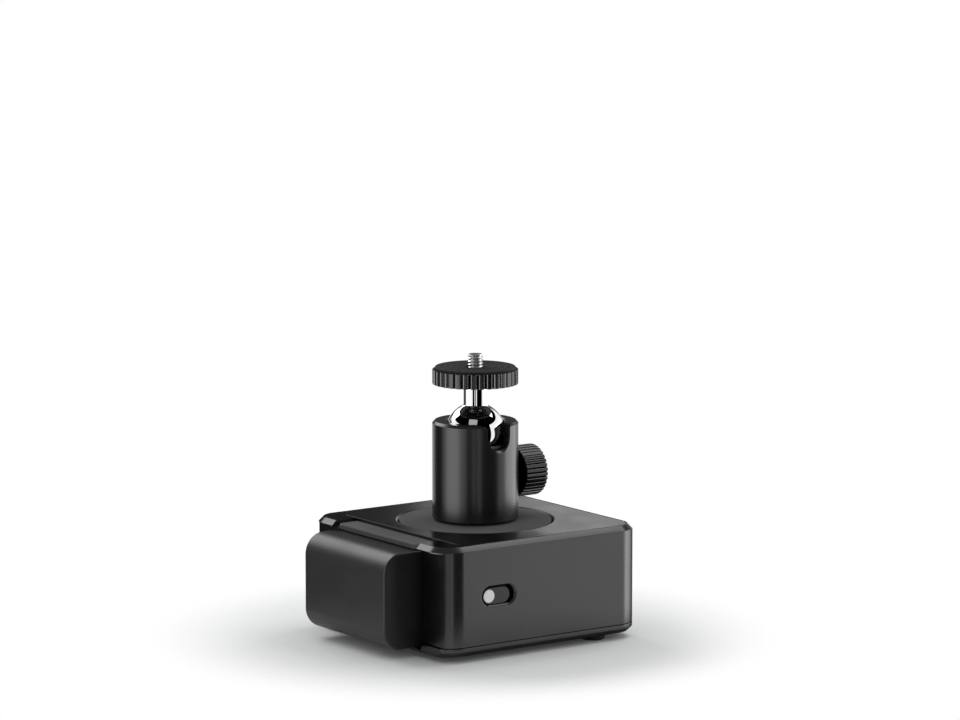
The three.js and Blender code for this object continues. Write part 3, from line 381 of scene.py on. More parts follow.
def mark_ridges(obj, count, inner, turn=Matrix(), shift=(0, 0, 0)):
    """Notes on each point how far its finish is rubbed off and lightened as a painted highlight: fully along
    the corners of the ridges.
    """
    near_share = 0.01
    back = (placed(shift) @ turn).inverted()
    marks = obj.data.attributes.new("rub_and_highlight", "FLOAT", "POINT")
    for vert, mark in zip(obj.data.vertices, marks.data):
        x, y, _ = back @ vert.co
        turned = math.atan2(y, x) / (2 * math.pi) * count
        near = [rubbed_highlit for share, _, rubbed_highlit in RIDGE_SHARES
                if abs((turned - share + 0.5) % 1.0 - 0.5) < near_share]
        mark.value = max(near, default=0) if math.hypot(x, y) > inner else 0


def round_wall(obj, radius):
    """Points the wall's normals straight out from the axis, so that the cuts leave no ripples in it."""
    on_wall, facing_out = 0.02, 0.98
    mesh = obj.data
    normals = [Vector(corner.vector) for corner in mesh.corner_normals]
    for face in mesh.polygons:
        for index in face.loop_indices:
            out = mesh.vertices[mesh.loops[index].vertex_index].co - AXIS
            out.z = 0
            if abs(out.length / MM - radius) < on_wall and face.normal.dot(out.normalized()) > facing_out:
                normals[index] = out.normalized()
    mesh.normals_split_custom_set(normals)


# Materials

def node(tree, kind, **values):
    item = tree.nodes.new(kind)
    for key, value in values.items():
        if key in item.inputs:
            item.inputs[key].default_value = value
        else:
            setattr(item, key, value)
    return item


def grain_pattern(tree, grain, stretch):
    """Fine grain, stretched where asked, and a half and half blend of it with broad patches."""
    patches_per_metre, half = 70.0, 0.5
    place = node(tree, "ShaderNodeTexCoord")
    scale = node(tree, "ShaderNodeMapping")
    scale.inputs["Scale"].default_value = stretch
    tree.links.new(place.outputs["Object"], scale.inputs["Vector"])
    fine = node(tree, "ShaderNodeTexNoise", Scale=float(grain), Detail=3.0, Roughness=0.6)
    tree.links.new(scale.outputs["Vector"], fine.inputs["Vector"])
    broad = node(tree, "ShaderNodeTexNoise", Scale=patches_per_metre, Detail=4.0, Roughness=0.55)
    tree.links.new(place.outputs["Object"], broad.inputs["Vector"])
    halved = node(tree, "ShaderNodeMath", operation="MULTIPLY")
    halved.inputs[1].default_value = half
    tree.links.new(broad.outputs["Fac"], halved.inputs[0])
    blend = node(tree, "ShaderNodeMath", operation="MULTIPLY_ADD")
    blend.inputs[1].default_value = half
    tree.links.new(fine.outputs["Fac"], blend.inputs[0])
    tree.links.new(halved.outputs[0], blend.inputs[2])
    return fine.outputs["Fac"], blend.outputs[0]


def rubbed_highlight_mask(tree, amount, marked):
    """How far the finish is rubbed off and lightened as a painted highlight: from the marks on the points,
    or wherever an edge turns.
    """
    flat_cosine, edge_cosine, reach = 0.99, 0.86, 0.0003
    mask = node(tree, "ShaderNodeMapRange")
    mask.inputs["To Max"].default_value = amount
    if marked:
        marks = node(tree, "ShaderNodeAttribute", attribute_name="rub_and_highlight")
        tree.links.new(marks.outputs["Fac"], mask.inputs["Value"])
        return mask.outputs["Result"]
    form = node(tree, "ShaderNodeNewGeometry")
    turned = node(tree, "ShaderNodeBevel", Radius=reach, samples=8)
    along = node(tree, "ShaderNodeVectorMath", operation="DOT_PRODUCT")
    tree.links.new(form.outputs["True Normal"], along.inputs[0])
    tree.links.new(turned.outputs["Normal"], along.inputs[1])
    mask.inputs["From Min"].default_value = flat_cosine
    mask.inputs["From Max"].default_value = edge_cosine
    tree.links.new(along.outputs["Value"], mask.inputs["Value"])
    return mask.outputs["Result"]


def surface(name, color, rough, metal, grain=4000, bump=0.08, mottle=0.12, rough_span=0.06,
            stretch=(1, 1, 1), wear_and_highlight=0.0, wear_and_highlight_color=None, marked=False, edge_tint=None, coat=0.0,
            specular=None, distance=0.00002):
    """One finish: grain in the bump, grain and patches in colour and gloss, and rubbed edges lightened as a
    painted highlight if asked.
    """
    tone_from, tone_to, gloss_from, gloss_to = 0.35, 0.65, 0.3, 0.7
    coat_rough, least_rough = 0.12, 0.02
    mat = bpy.data.materials.new(name)
    mat.use_nodes = True
    tree = mat.node_tree
    shader = tree.nodes["Principled BSDF"]
    shader.inputs["Metallic"].default_value = metal
    if edge_tint is not None:
        shader.inputs["Specular Tint"].default_value = (*edge_tint, 1)
    if specular is not None:
        shader.inputs["Specular IOR Level"].default_value = specular
    shader.inputs["Coat Weight"].default_value = coat
    shader.inputs["Coat Roughness"].default_value = coat_rough
    fine, blend = grain_pattern(tree, grain, stretch)
    tone = node(tree, "ShaderNodeValToRGB")
    darker, lighter = tone.color_ramp.elements
    darker.position, lighter.position = tone_from, tone_to
    darker.color = (*(c * (1 - mottle) for c in color), 1)
    lighter.color = (*(min(1, c * (1 + mottle)) for c in color), 1)
    tree.links.new(blend, tone.inputs["Fac"])
    final = tone.outputs["Color"]
    # Lighter colour along edges and ridge corners: a rubbed finish, and also a painted highlight
    if wear_and_highlight:
        rub_and_highlight = node(tree, "ShaderNodeMix", data_type="RGBA")
        rub_and_highlight.inputs["B"].default_value = (*wear_and_highlight_color, 1)
        tree.links.new(rubbed_highlight_mask(tree, wear_and_highlight, marked), rub_and_highlight.inputs["Factor"])
        tree.links.new(final, rub_and_highlight.inputs["A"])
        final = rub_and_highlight.outputs["Result"]
    tree.links.new(final, shader.inputs["Base Color"])
    gloss = node(tree, "ShaderNodeMapRange")
    gloss.inputs["From Min"].default_value = gloss_from
    gloss.inputs["From Max"].default_value = gloss_to
    gloss.inputs["To Min"].default_value = max(least_rough, rough - rough_span)
    gloss.inputs["To Max"].default_value = min(1, rough + rough_span)
    tree.links.new(blend, gloss.inputs["Value"])
    tree.links.new(gloss.outputs["Result"], shader.inputs["Roughness"])
    relief = node(tree, "ShaderNodeBump", Strength=bump, Distance=distance)
    tree.links.new(fine, relief.inputs["Height"])
    tree.links.new(relief.outputs["Normal"], shader.inputs["Normal"])
    return mat


# Colour of rubbed edges, lighter also as a painted highlight along them
RUBBED_EDGE_HIGHLIGHT = (0.15, 0.15, 0.155)
DARK_EDGE = (0.34, 0.34, 0.35)
anodised = surface(
    "anodised_black", (0.088, 0.088, 0.089), 0.23, 1.0, grain=5200, bump=0.06, mottle=0.06,
    wear_and_highlight=0.5, wear_and_highlight_color=RUBBED_EDGE_HIGHLIGHT, edge_tint=DARK_EDGE)
anodised_cover = surface(
    "anodised_cover", (0.060, 0.060, 0.061), 0.36, 1.0, grain=5200, bump=0.05, mottle=0.06,
    wear_and_highlight=0.5, wear_and_highlight_color=RUBBED_EDGE_HIGHLIGHT, edge_tint=(0.40, 0.40, 0.405))
anodised_matt = surface(
    "anodised_matt", (0.112, 0.112, 0.113), 0.55, 0.0, grain=4200, bump=0.10, mottle=0.08,
    wear_and_highlight=0.5, wear_and_highlight_color=(0.14, 0.14, 0.145), specular=0.01)
anodised_bar = surface(
    "anodised_bar", (0.112, 0.112, 0.113), 0.50, 0.0, grain=4200, bump=0.10, mottle=0.08,
    wear_and_highlight=0.4, wear_and_highlight_color=(0.18, 0.18, 0.185), specular=0.15)
turned_black = surface(
    "turned_black", (0.060, 0.060, 0.061), 0.25, 0.93, grain=5200, bump=0.02, mottle=0.03,
    rough_span=0.02, wear_and_highlight=0.5, wear_and_highlight_color=(0.18, 0.18, 0.185), edge_tint=(0.80, 0.80, 0.81))
# Ridge corners in the full lighter colour: rubbed finish and a painted highlight on each ridge edge
knurled_black = surface(
    "knurled_black", (0.055, 0.055, 0.056), 0.24, 1.0, grain=5200, bump=0.01, mottle=0.06,
    wear_and_highlight=1.0, wear_and_highlight_color=(0.20, 0.20, 0.205), marked=True, edge_tint=DARK_EDGE)
chrome = surface(
    "chrome_polish", (0.88, 0.885, 0.89), 0.03, 1.0, grain=1500, bump=0.01, mottle=0.01, rough_span=0.01)
steel = surface(
    "turned_steel", (0.56, 0.565, 0.57), 0.28, 1.0, grain=2400, bump=0.12, mottle=0.08,
    stretch=(0.06, 0.06, 1))
brass = surface(
    "machined_brass", (0.69, 0.52, 0.25), 0.30, 1.0, grain=2600, bump=0.10, mottle=0.10)
bare_aluminium = surface(
    "milled_aluminium", (0.72, 0.725, 0.73), 0.34, 1.0, grain=1800, bump=0.10, mottle=0.06,
    stretch=(1, 0.08, 1))
can_steel = surface(
    "pressed_can", (0.74, 0.75, 0.76), 0.30, 1.0, grain=1200, bump=0.05, mottle=0.05)
battery_black = surface(
    "battery_plastic", (0.010, 0.010, 0.0105), 0.42, 0.0, grain=2600, bump=0.22, mottle=0.18,
    rough_span=0.05, specular=0.50, distance=0.00003)
slider_black = surface(
    "slider_plastic", (0.036, 0.036, 0.037), 0.34, 0.0, grain=3000, bump=0.08, mottle=0.10)
switch_black = surface(
    "switch_plastic", (0.016, 0.016, 0.017), 0.42, 0.0, grain=3000, bump=0.12, mottle=0.15)
lens_white = surface(
    "lens_white", (0.86, 0.87, 0.86), 0.28, 0.0, grain=900, bump=0.02, mottle=0.02, coat=0.4)
nylon = surface(
    "nylon", (0.78, 0.775, 0.75), 0.45, 0.0, grain=1500, bump=0.06, mottle=0.03)
rubber = surface(
    "rubber_matt", (0.017, 0.017, 0.017), 0.78, 0.0, grain=1900, bump=0.35, mottle=0.25,
    specular=0.3, distance=0.00004)
lead_jacket = surface(
    "lead_jacket", (0.02, 0.02, 0.02), 0.5, 0.0, grain=1500, bump=0.10, mottle=0.15)


def board_material():
    """Green solder resist with a lattice of lighter tracks."""
    mat = surface("solder_resist", (0.025, 0.12, 0.06), 0.35, 0.0, grain=1600, bump=0.05, mottle=0.12)
    tree = mat.node_tree
    base_color = tree.nodes["Principled BSDF"].inputs["Base Color"]
    tone = base_color.links[0].from_socket
    place = node(tree, "ShaderNodeTexCoord")
    swing = node(tree, "ShaderNodeMapping")
    swing.inputs["Rotation"].default_value = (QUARTER, 0, 0)
    tree.links.new(place.outputs["Object"], swing.inputs["Vector"])
    tracks = node(tree, "ShaderNodeTexBrick", Scale=140.0)
    tracks.inputs["Mortar Size"].default_value = 0.03
    tracks.inputs["Color1"].default_value = (0, 0, 0, 1)
    tracks.inputs["Color2"].default_value = (0, 0, 0, 1)
    tracks.inputs["Mortar"].default_value = (1, 1, 1, 1)
    tree.links.new(swing.outputs["Vector"], tracks.inputs["Vector"])
    mix = node(tree, "ShaderNodeMix", data_type="RGBA")
    mix.inputs["B"].default_value = (0.06, 0.24, 0.12, 1)
    tree.links.new(tracks.outputs["Color"], mix.inputs["Factor"])
    tree.links.new(tone, mix.inputs["A"])
    tree.links.new(mix.outputs["Result"], base_color)
    return mat


solder_resist = board_material()


def dress(obj, body, material, slot, *replaced):
    obj.data.materials.clear()
    obj.data.materials.append(material)
    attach(obj, body)
    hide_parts(*replaced)
    return obj


# Housing, cover and base

def board_holes():
    """The board's four holes, near its corners, as (x, z)."""
    inset = 3.0
    (left, right), (bottom, top) = BOARD_X, BOARD_Z
    return [(x, z) for z in (bottom + inset, top - inset) for x in (left + inset, right - inset)]


def in_cavity(edge):
    """True for the housing's inner edges, which the cover and the base plate close in."""
    margin = 0.1
    x, y, z = (sum((vert.co for vert in edge.verts), Vector()) / 2 - AXIS) / MM
    return (BAY_INNER - margin < x < INNER_RIGHT + margin
            and INNER_FRONT - margin < y < INNER_BACK + margin
            and z < TOP - COVER_T + margin)


def front_slot():
    """The slider's slot through the front wall, and the flare round its outer edge."""
    flare = 0.7
    run = flare + OVERRUN
    slot = prism(obround(SLOT_X, SLOT_Z, SLOT_LENGTH, SLOT_HEIGHT), -INNER_FRONT - OVERRUN, -FRONT + OVERRUN)
    mouth = loft([(obround(SLOT_X, SLOT_Z, SLOT_LENGTH, SLOT_HEIGHT), -FRONT - flare),
                  (obround(SLOT_X, SLOT_Z, SLOT_LENGTH + 2 * run, SLOT_HEIGHT + 2 * run), -FRONT + OVERRUN)])
    return across("slot", slot), across("flare", mouth)


def latch_slot():
    """Room for the latch bar's tongue, its travel and its spring."""
    side_gap, end_gap, spring_room, height = 0.05, 0.1, 10.3, 2.8
    bottom = TONGUE_BOTTOM - GAP
    return box(TONGUE_X[0] - end_gap, TONGUE_X[1] + side_gap, TONGUE_Y[0] - GAP - spring_room,
               TONGUE_Y[1] + GAP, bottom, bottom + height)


def make_housing():
    reveal, reveal_height = 0.6, 0.3
    post_r, hole_depth = 4, 9
    boss_r, boss_reach, boss_root = 2.2, 3.5, 2
    left_step = 3.1
    window_y, window_z = 6.5, 2.3
    shell = solid("housing_shell", loft([
        (housing_outline(reveal), PLATE_TOP), (housing_outline(reveal), PLATE_TOP + reveal_height),
        (housing_outline(0), PLATE_TOP + reveal_height), (housing_outline(0), TOP - TOP_CHAMFER),
        (housing_outline(TOP_CHAMFER), TOP)]))
    cavity = rounded(BAY_INNER, INNER_RIGHT, INNER_FRONT, INNER_BACK, CORNER_R - WALL)
    cut(shell,
        prism(cavity, IN_HOUSING, TOP + OVERRUN),
        prism(cover_outline(GAP), TOP - COVER_T, TOP + OVERRUN))
    posts = [rod(post_r, PLATE_TOP, TOP - COVER_T, 32, x, y) for x, y in POSTS]
    boss_back, boss_front = -INNER_FRONT - boss_reach, -INNER_FRONT + boss_root
    bosses = [across("boss", prism(circle(boss_r, 24, x, z), boss_back, boss_front))
              for x, z in board_holes()]
    join(shell, *posts, *bosses)
    cut(shell,
        box(LEFT - OVERRUN, BAY_FACE, BAY_FRONT, BAY_BACK, IN_HOUSING, TOP + OVERRUN),
        box(LEFT - OVERRUN, COVER_LEFT, BAY_FRONT, BAY_BACK, BAR_SEAT, TOP + OVERRUN),
        box(LEFT - OVERRUN, LEFT + left_step, FRONT - OVERRUN, BACK + OVERRUN, IN_HOUSING, TOP - COVER_T),
        latch_slot(),
        box(BAY_FACE - OVERRUN, BAY_INNER + OVERRUN, -window_y, window_y,
            CONTACT_Z - window_z, CONTACT_Z + window_z),
        *front_slot(),
        *[rod(SCREW_HOLE_R, IN_HOUSING, PLATE_TOP + hole_depth, 24, x, y) for x, y in POSTS])
    soften(shell, 0.15, hidden=in_cavity)
    return dress(shell, "base", anodised, "anodised", "housing")


def make_top_cover():
    chamfer, below = 1, 4
    cover = solid("cover_plate", prism(cover_outline(0), TOP - COVER_T, TOP))
    cut(cover, loft([(circle(OPENING_R, 160), TOP - below), (circle(OPENING_R, 160), TOP - chamfer),
                     (circle(OPENING_R + chamfer + OVERRUN, 160), TOP + OVERRUN)]))
    soften(cover, 0.22, 3)
    return dress(cover, "base", anodised_cover, "anodised", "top_cover")


def make_base_plate():
    chamfer = 2.0
    plate = solid("bottom_plate", loft([
        (housing_outline(chamfer), PLATE_BOTTOM), (housing_outline(0), PLATE_BOTTOM + chamfer),
        (housing_outline(0), PLATE_TOP)]))
    cut(plate,
        box(LEFT - OVERRUN, PLATE_LEFT, FRONT - OVERRUN, BACK + OVERRUN, UNDER_PLATE, OVER_PLATE),
        box(LEFT - OVERRUN, BAY_FACE, BAY_FRONT, BAY_BACK, BATTERY_Z[0] - GAP, OVER_PLATE),
        *[rod(FOOT_R + GAP, UNDER_PLATE, FOOT_TOP, 64, x, y) for x, y in FEET],
        *[rod(HEAD_R + GAP, UNDER_PLATE, HEAD_SEAT, 32, x, y) for x, y in POSTS],
        *[rod(SCREW_HOLE_R, UNDER_PLATE, OVER_PLATE, 24, x, y) for x, y in POSTS],
        rod(INSERT_R + GAP, UNDER_PLATE, OVER_PLATE), rod(FLANGE_R + GAP, UNDER_PLATE, FLANGE_TOP))
    soften(plate, 0.2)
    dress(plate, "base", anodised, "anodised", "base_plate")


def make_feet():
    profile = [(0, 0.35), (1.8, 0.35), (2.2, 0.0), (FOOT_R - 0.7, 0.0), (FOOT_R - 0.2, 0.15), (FOOT_R, 0.6),
               (FOOT_R, FOOT_TOP), (0, FOOT_TOP)]
    for i, (x, y) in enumerate(FEET, 1):
        foot = solid(f"rubber_foot_{i}", lathe(profile, 64), shift=(x, y, 0))
        soften(foot, 0.12)
        dress(foot, "base", rubber, "rubber", f"foot_{i}")


def make_base_screws():
    shank_r, end, tip, ease = 1.5, 12.3, 0.4, 0.3
    socket_r, socket_floor, below = 1.35, 3.9, 0.7
    profile = [(0, HEAD_FACE), (HEAD_R - ease, HEAD_FACE), (HEAD_R, HEAD_FACE + ease), (HEAD_R, HEAD_SEAT),
               (shank_r, HEAD_SEAT), (shank_r, end - tip), (shank_r - tip, end), (0, end)]
    for i, (x, y) in enumerate(POSTS, 1):
        screw = solid(f"plate_screw_{i}", lathe(profile, 48), shift=(x, y, 0))
        cut(screw, rod(socket_r, HEAD_FACE - below, socket_floor, 6, x, y))
        soften(screw)
        dress(screw, "base", steel, "steel", f"base_screw_{i}")


def make_insert():
    bore, lead_r, lead = 3.95, 4.6, 0.4
    major, depth, pitch = 4.7, 0.95, 1.5875
    past_face, past_top = 0.7, 0.9
    bush = solid("tripod_bush", lathe([
        (bore, PLATE_BOTTOM + lead), (lead_r, PLATE_BOTTOM), (FLANGE_R, PLATE_BOTTOM),
        (FLANGE_R, FLANGE_TOP), (INSERT_R, FLANGE_TOP), (INSERT_R, INSERT_TOP), (bore, INSERT_TOP)]))
    cut(bush, threaded(major, depth, pitch, PLATE_BOTTOM - past_face, INSERT_TOP + past_top, 64, 0.05))
    soften(bush)
    dress(bush, "base", steel, "steel", "tripod_insert")


# Battery side

def battery_profile(inset):
    (x0, x1), (z0, z1) = BATTERY_X, BATTERY_Z
    big, small = 8.5 - inset, max(0.2, 1.0 - inset)
    return rounded(x0 + inset, x1 - inset, z0 + inset, z1 - inset, (big, small, small, big), 16)


def make_battery():
    end_ease = [(0.9, 0.0), (0.42, 0.12), (0.12, 0.42), (0.0, 0.9)]
    recess, recess_y, recess_z = 2.0, 9.5, 4.5
    (front, back), face = BATTERY_Y, BATTERY_X[1]
    layers = [(battery_profile(inset), -back + run) for inset, run in end_ease]
    layers += [(battery_profile(inset), -front - run) for inset, run in reversed(end_ease)]
    case = across("battery_case", loft(layers))
    cut(case, box(face - recess, face + OVERRUN, -recess_y, recess_y,
                  CONTACT_Z - recess_z, CONTACT_Z + recess_z))
    soften(case, smooth=40)
    dress(case, "battery_pack", battery_black, "black_plastic", "battery")


def bar_outline(inset):
    """The latch bar from above: rounded outer corners, and fine teeth between them."""
    corner, teeth, foot, crest, depth = 3, 41, 0.38, 0.1, 0.28
    x, start, end, radius = BAR_LEFT + inset, BAR_FRONT + inset, BAR_BACK - inset, corner - inset
    pitch = (BAR_BACK - BAR_FRONT - 2 * corner) / teeth
    serrations = []
    for i in range(teeth):
        y = BAR_BACK - corner - (i + 0.5) * pitch
        serrations += [(x, y + foot), (x + depth, y + crest), (x + depth, y - crest), (x, y - foot)]
    return ([(BAR_RIGHT, start), (BAR_RIGHT, end)]
            + arc(x + radius, end - radius, radius, QUARTER, 2 * QUARTER, 12)
            + serrations
            + arc(x + radius, start + radius, radius, 2 * QUARTER, 3 * QUARTER, 12))


def make_latch_bar():
    bottom, lower_ease, upper_ease, tongue_root = BAR_SEAT + GAP, 0.15, 0.3, 0.7
    bar = solid("latch_slide_bar", loft([
        (bar_outline(lower_ease), bottom), (bar_outline(0), bottom + lower_ease),
        (bar_outline(0), BAR_TOP - upper_ease), (bar_outline(upper_ease), BAR_TOP)]))
    join(bar, box(*TONGUE_X, *TONGUE_Y, TONGUE_BOTTOM, bottom + tongue_root))
    soften(bar, smooth=28)
    dress(bar, "latch", anodised_bar, "anodised", "latch_bar")


# Front slider and its lens

def make_slider():
    length, height, ease, face, back = 12.8, 6.6, 0.15, -SLIDER_FRONT, 43.2
    flange_length, flange_height, flange_back, flange_front = 16.4, 10.2, 42.7, 43.7
    peg = 0.8
    flange = prism(obround(SLIDER_X, SLOT_Z, flange_length, flange_height), flange_back, flange_front)
    lens_hole = prism(circle(LENS_HOLE_R, 64, LENS_X, SLOT_Z), LENS_FLOOR, -FRONT + OVERRUN)
    slider = across("slider_button", loft([
        (obround(SLIDER_X, SLOT_Z, length - 2 * ease, height - 2 * ease), face),
        (obround(SLIDER_X, SLOT_Z, length, height), face - ease),
        (obround(SLIDER_X, SLOT_Z, length, height), back)]))
    join(slider, across("flange", flange),
         box(SLOT_X - peg, SLOT_X + peg, -back, PEG_BACK, SLOT_Z - peg, SLOT_Z + peg))
    cut(slider, across("lens_hole", lens_hole))
    soften(slider)
    dress(slider, "switch_slider", slider_black, "black_plastic", "power_slider")


def make_lens():
    """White disc, slightly domed, with a small dimple in its middle."""
    profile = [(0, LENS_FLOOR), (LENS_R, LENS_FLOOR), (LENS_R, 47.3), (2.55, 47.41), (2.25, 47.45),
               (1.2, 47.48), (0.5, 47.5), (0.4, 47.42), (0.2, 47.38), (0, 47.38)]
    lens = solid("lens_disc", lathe(profile, 72), ACROSS_Y @ Matrix.Translation((LENS_X, SLOT_Z, 0)))
    soften(lens, smooth=30)
    dress(lens, "switch_slider", lens_white, "white_plastic", "status_lens")


# Turntable and ball head

def make_turntable():
    thickness, chamfer = 3.2, 0.3
    disc = solid("turntable_disc", lathe([
        (SHAFT_HOLE_R, TOP - thickness), (DISC_R, TOP - thickness), (DISC_R, TOP - chamfer),
        (DISC_R - chamfer, TOP), (SHAFT_HOLE_R, TOP)], 160))
    soften(disc, 0.08)
    dress(disc, "turning_head", anodised_matt, "anodised", "turntable")


def make_washer():
    upper = TOP + WASHER_T
    ring = solid("felt_washer", lathe([
        (SHAFT_HOLE_R, TOP), (WASHER_R, TOP), (WASHER_R, upper), (SHAFT_HOLE_R, upper)], 128))
    soften(ring, 0.1)
    dress(ring, "turning_head", rubber, "rubber", "head_washer")


def notch_outline(half):
    """A U with its two upper corners rounded outwards."""
    ease = 2.0
    level = COLUMN_TOP - ease
    right = arc(half + ease, level, ease, 2 * QUARTER, QUARTER, 8)
    left = [(-x, z) for x, z in reversed(right)]
    return (arc(0, BALL_Z, half, 2 * QUARTER, 4 * QUARTER, 24) + right
            + [(half + ease, COLUMN_TOP + OVERRUN), (-half - ease, COLUMN_TOP + OVERRUN)] + left)


def make_column():
    bore, seat, opening, lip = 13.5, BALL_R + GAP, 4.2, 0.8
    bottom, foot_chamfer = TOP + WASHER_T, 0.6
    rim, rim_inner, rim_ease = 1.15, 0.98, 0.06
    notch_half, notch_flare, notch_start, lock_start = 5.35, 0.9, 4, 5
    start = math.acos(opening / seat)
    profile = [(bore, bottom), (COLUMN_R - foot_chamfer, bottom), (COLUMN_R, bottom + foot_chamfer),
               (COLUMN_R, COLUMN_TOP - rim), (COLUMN_R - rim_ease, COLUMN_TOP - rim_inner),
               (COLUMN_R - rim_inner, COLUMN_TOP - rim_ease), (COLUMN_R - rim, COLUMN_TOP),
               (seat * math.sin(start) + lip, COLUMN_TOP)]
    profile += bend_line(0, BALL_Z, seat, start, QUARTER, 14)
    profile += [(bore, BALL_Z)]
    column = solid("column_tube", lathe(profile, 192))
    narrow, wide = notch_outline(notch_half), notch_outline(notch_half + notch_flare)
    outside = COLUMN_R + OVERRUN
    cut(column,
        across("notch", prism(narrow, notch_start, outside)),
        across("flare", loft([(narrow, COLUMN_R - notch_flare), (wide, COLUMN_R), (wide, outside)])),
        on_knob_axis("lock_hole", rod(LOCK_HOLE_R, lock_start, outside, 48)))
    soften(column)
    round_wall(column, COLUMN_R)
    dress(column, "turning_head", turned_black, "column", "ball_head_body")


def make_ball():
    """Ball and neck in one turning, with a small collar where the neck meets the ball."""
    collar_r, end_chamfer = 5.9, 0.3
    collar = [(5.6, 0.2), (5.22, 0.5), (5.06, 0.85), (NECK_R, 1.3)]
    profile = bend_line(0, BALL_Z, BALL_R, math.pi, math.asin(collar_r / BALL_R), 60)
    profile[0] = (0, BALL_Z - BALL_R)
    meeting = profile[-1][1]
    profile += [(radius, meeting + rise) for radius, rise in collar]
    profile += [(NECK_R, STEM_TOP - end_chamfer), (NECK_R - end_chamfer, STEM_TOP), (0, STEM_TOP)]
    stem = solid("chrome_ball", lathe(profile, 128))
    soften(stem, smooth=50)
    return dress(stem, "ball", chrome, "chrome", "ball_stem")


def make_platform():
    depth, marked_from = 0.9, 16.0
    rim_ease = [(0.3, 0.0), (0.08, 0.1), (0.0, 0.3)]
    bottom, top = PLATFORM_BOTTOM, PLATFORM_TOP
    recess = [(0, bottom - OVERRUN), (15.6, bottom - OVERRUN), (15.2, bottom + 0.35), (9.0, bottom + 0.35),
              (8.6, bottom - 0.5), (0, bottom - 0.5)]
    rims = [(knurl(PLATFORM_R - inset, depth, PLATFORM_RIDGES), run) for inset, run in rim_ease]
    layers = [(rim, bottom + run) for rim, run in rims] + [(rim, top - run) for rim, run in reversed(rims)]
    disc = solid("platform_disc", loft(layers))
    cut(disc,
        rod(NECK_R + GAP, bottom - OVERRUN, STEM_TOP + GAP, 96),
        rod(STUD_R + GAP, bottom, top + OVERRUN, 64),
        lathe(recess, 128))
    soften(disc, smooth=40)
    mark_ridges(disc, PLATFORM_RIDGES, marked_from)
    dress(disc, "platform", knurled_black, "anodised", "camera_platform")


def make_pad():
    """Rubber ring with shallow grooves round it."""
    inner, outer, ease, top = 3.9, PAD_R, 0.2, PAD_TOP
    groove_radii, half_mouth, half_floor, groove_depth = (13.6, 11.2, 8.8, 6.4), 0.35, 0.2, 0.25
    profile = [(inner, PLATFORM_TOP), (outer, PLATFORM_TOP), (outer, top - ease), (outer - ease, top)]
    for r in groove_radii:
        profile += [(r + half_mouth, top), (r + half_floor, top - groove_depth),
                    (r - half_floor, top - groove_depth), (r - half_mouth, top)]
    profile += [(inner + ease, top), (inner, top - ease)]
    pad = solid("pad_ring", lathe(profile, 128))
    soften(pad, smooth=40)
    dress(pad, "platform", rubber, "rubber", "platform_pad")


def make_camera_stud():
    major, depth, pitch = 3.16, 0.5, 1.27
    stud = solid("camera_screw", threaded(major, depth, pitch, STUD_BOTTOM, STUD_TOP))
    soften(stud, smooth=60)
    dress(stud, "platform", steel, "steel", "camera_stud")


def make_knob():
    near, far, depth, marked_from = KNOB_NEAR, KNOB_FAR, 0.8, 9.0
    near_ease = [(0.3, 0.0), (0.08, 0.1), (0.0, 0.3)]
    far_ease = [(0.0, 0.5), (0.15, 0.15), (0.45, 0.0)]
    dish = [(0, far - 0.5), (6.9, far - 0.5), (7.6, far + 0.6), (0, far + 0.6)]
    layers = [(knurl(KNOB_R - inset, depth, KNOB_RIDGES), near + run) for inset, run in near_ease]
    layers += [(knurl(KNOB_R - inset, depth, KNOB_RIDGES), far - run) for inset, run in far_ease]
    knob = on_knob_axis("knurled_knob", loft(layers))
    cut(knob,
        on_knob_axis("hole", rod(LOCK_HOLE_R, near - OVERRUN, LOCK_END + GAP, 48)),
        on_knob_axis("dish", lathe(dish)))
    soften(knob, smooth=40)
    mark_ridges(knob, KNOB_RIDGES, marked_from, ALONG_X, (0, 0, KNOB_Z))
    dress(knob, "knob", knurled_black, "anodised", "lock_knob")


def make_lock_screw():
    depth, pitch = 0.42, 1.0
    screw = on_knob_axis("knob_screw", threaded(LOCK_R, depth, pitch, LOCK_START, LOCK_END))
    soften(screw, smooth=60)
    dress(screw, "knob", steel, "steel", "lock_screw")


shell = make_housing()
cover = make_top_cover()
make_base_plate()
make_feet()
make_base_screws()
make_insert()
make_battery()
make_latch_bar()
make_slider()
make_lens()
make_turntable()
make_washer()
make_column()
ball = make_ball()
make_platform()
make_pad()
make_camera_stud()
make_knob()
make_lock_screw()

# The pieces that keep their own meshes, by finish
KEPT = {
    steel: ["latch_spring", "upper_bearing", "lower_bearing", "gearbox", "main_shaft", "shaft_nut",
            "head_stud", "brake_pin", "frame_screw_1", "frame_screw_2", "frame_screw_3", "frame_screw_4"],
    brass: ["motor_pinion", "main_gear", "battery_terminal_1", "battery_terminal_2", "battery_terminal_3"],
    bare_aluminium: ["drive_frame", "bearing_tower", "body_plug", "frame_pillar_1", "frame_pillar_2",
                     "frame_pillar_3", "frame_pillar_4"],
    can_steel: ["motor", "radio_module"],
    switch_black: ["battery_dock", "driver_chip", "slide_switch"],
    nylon: ["ball_cup", "ball_liner"],
    lead_jacket: ["battery_lead", "motor_lead"],
    solder_resist: ["main_board"],
}
for material, names in KEPT.items():
    for name in names:
        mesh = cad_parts[name].data
        mesh.materials.clear()
        mesh.materials.append(material)


# Stage: camera, world, floor, cards and lamps. Lengths from here on are metres, and azimuths degrees

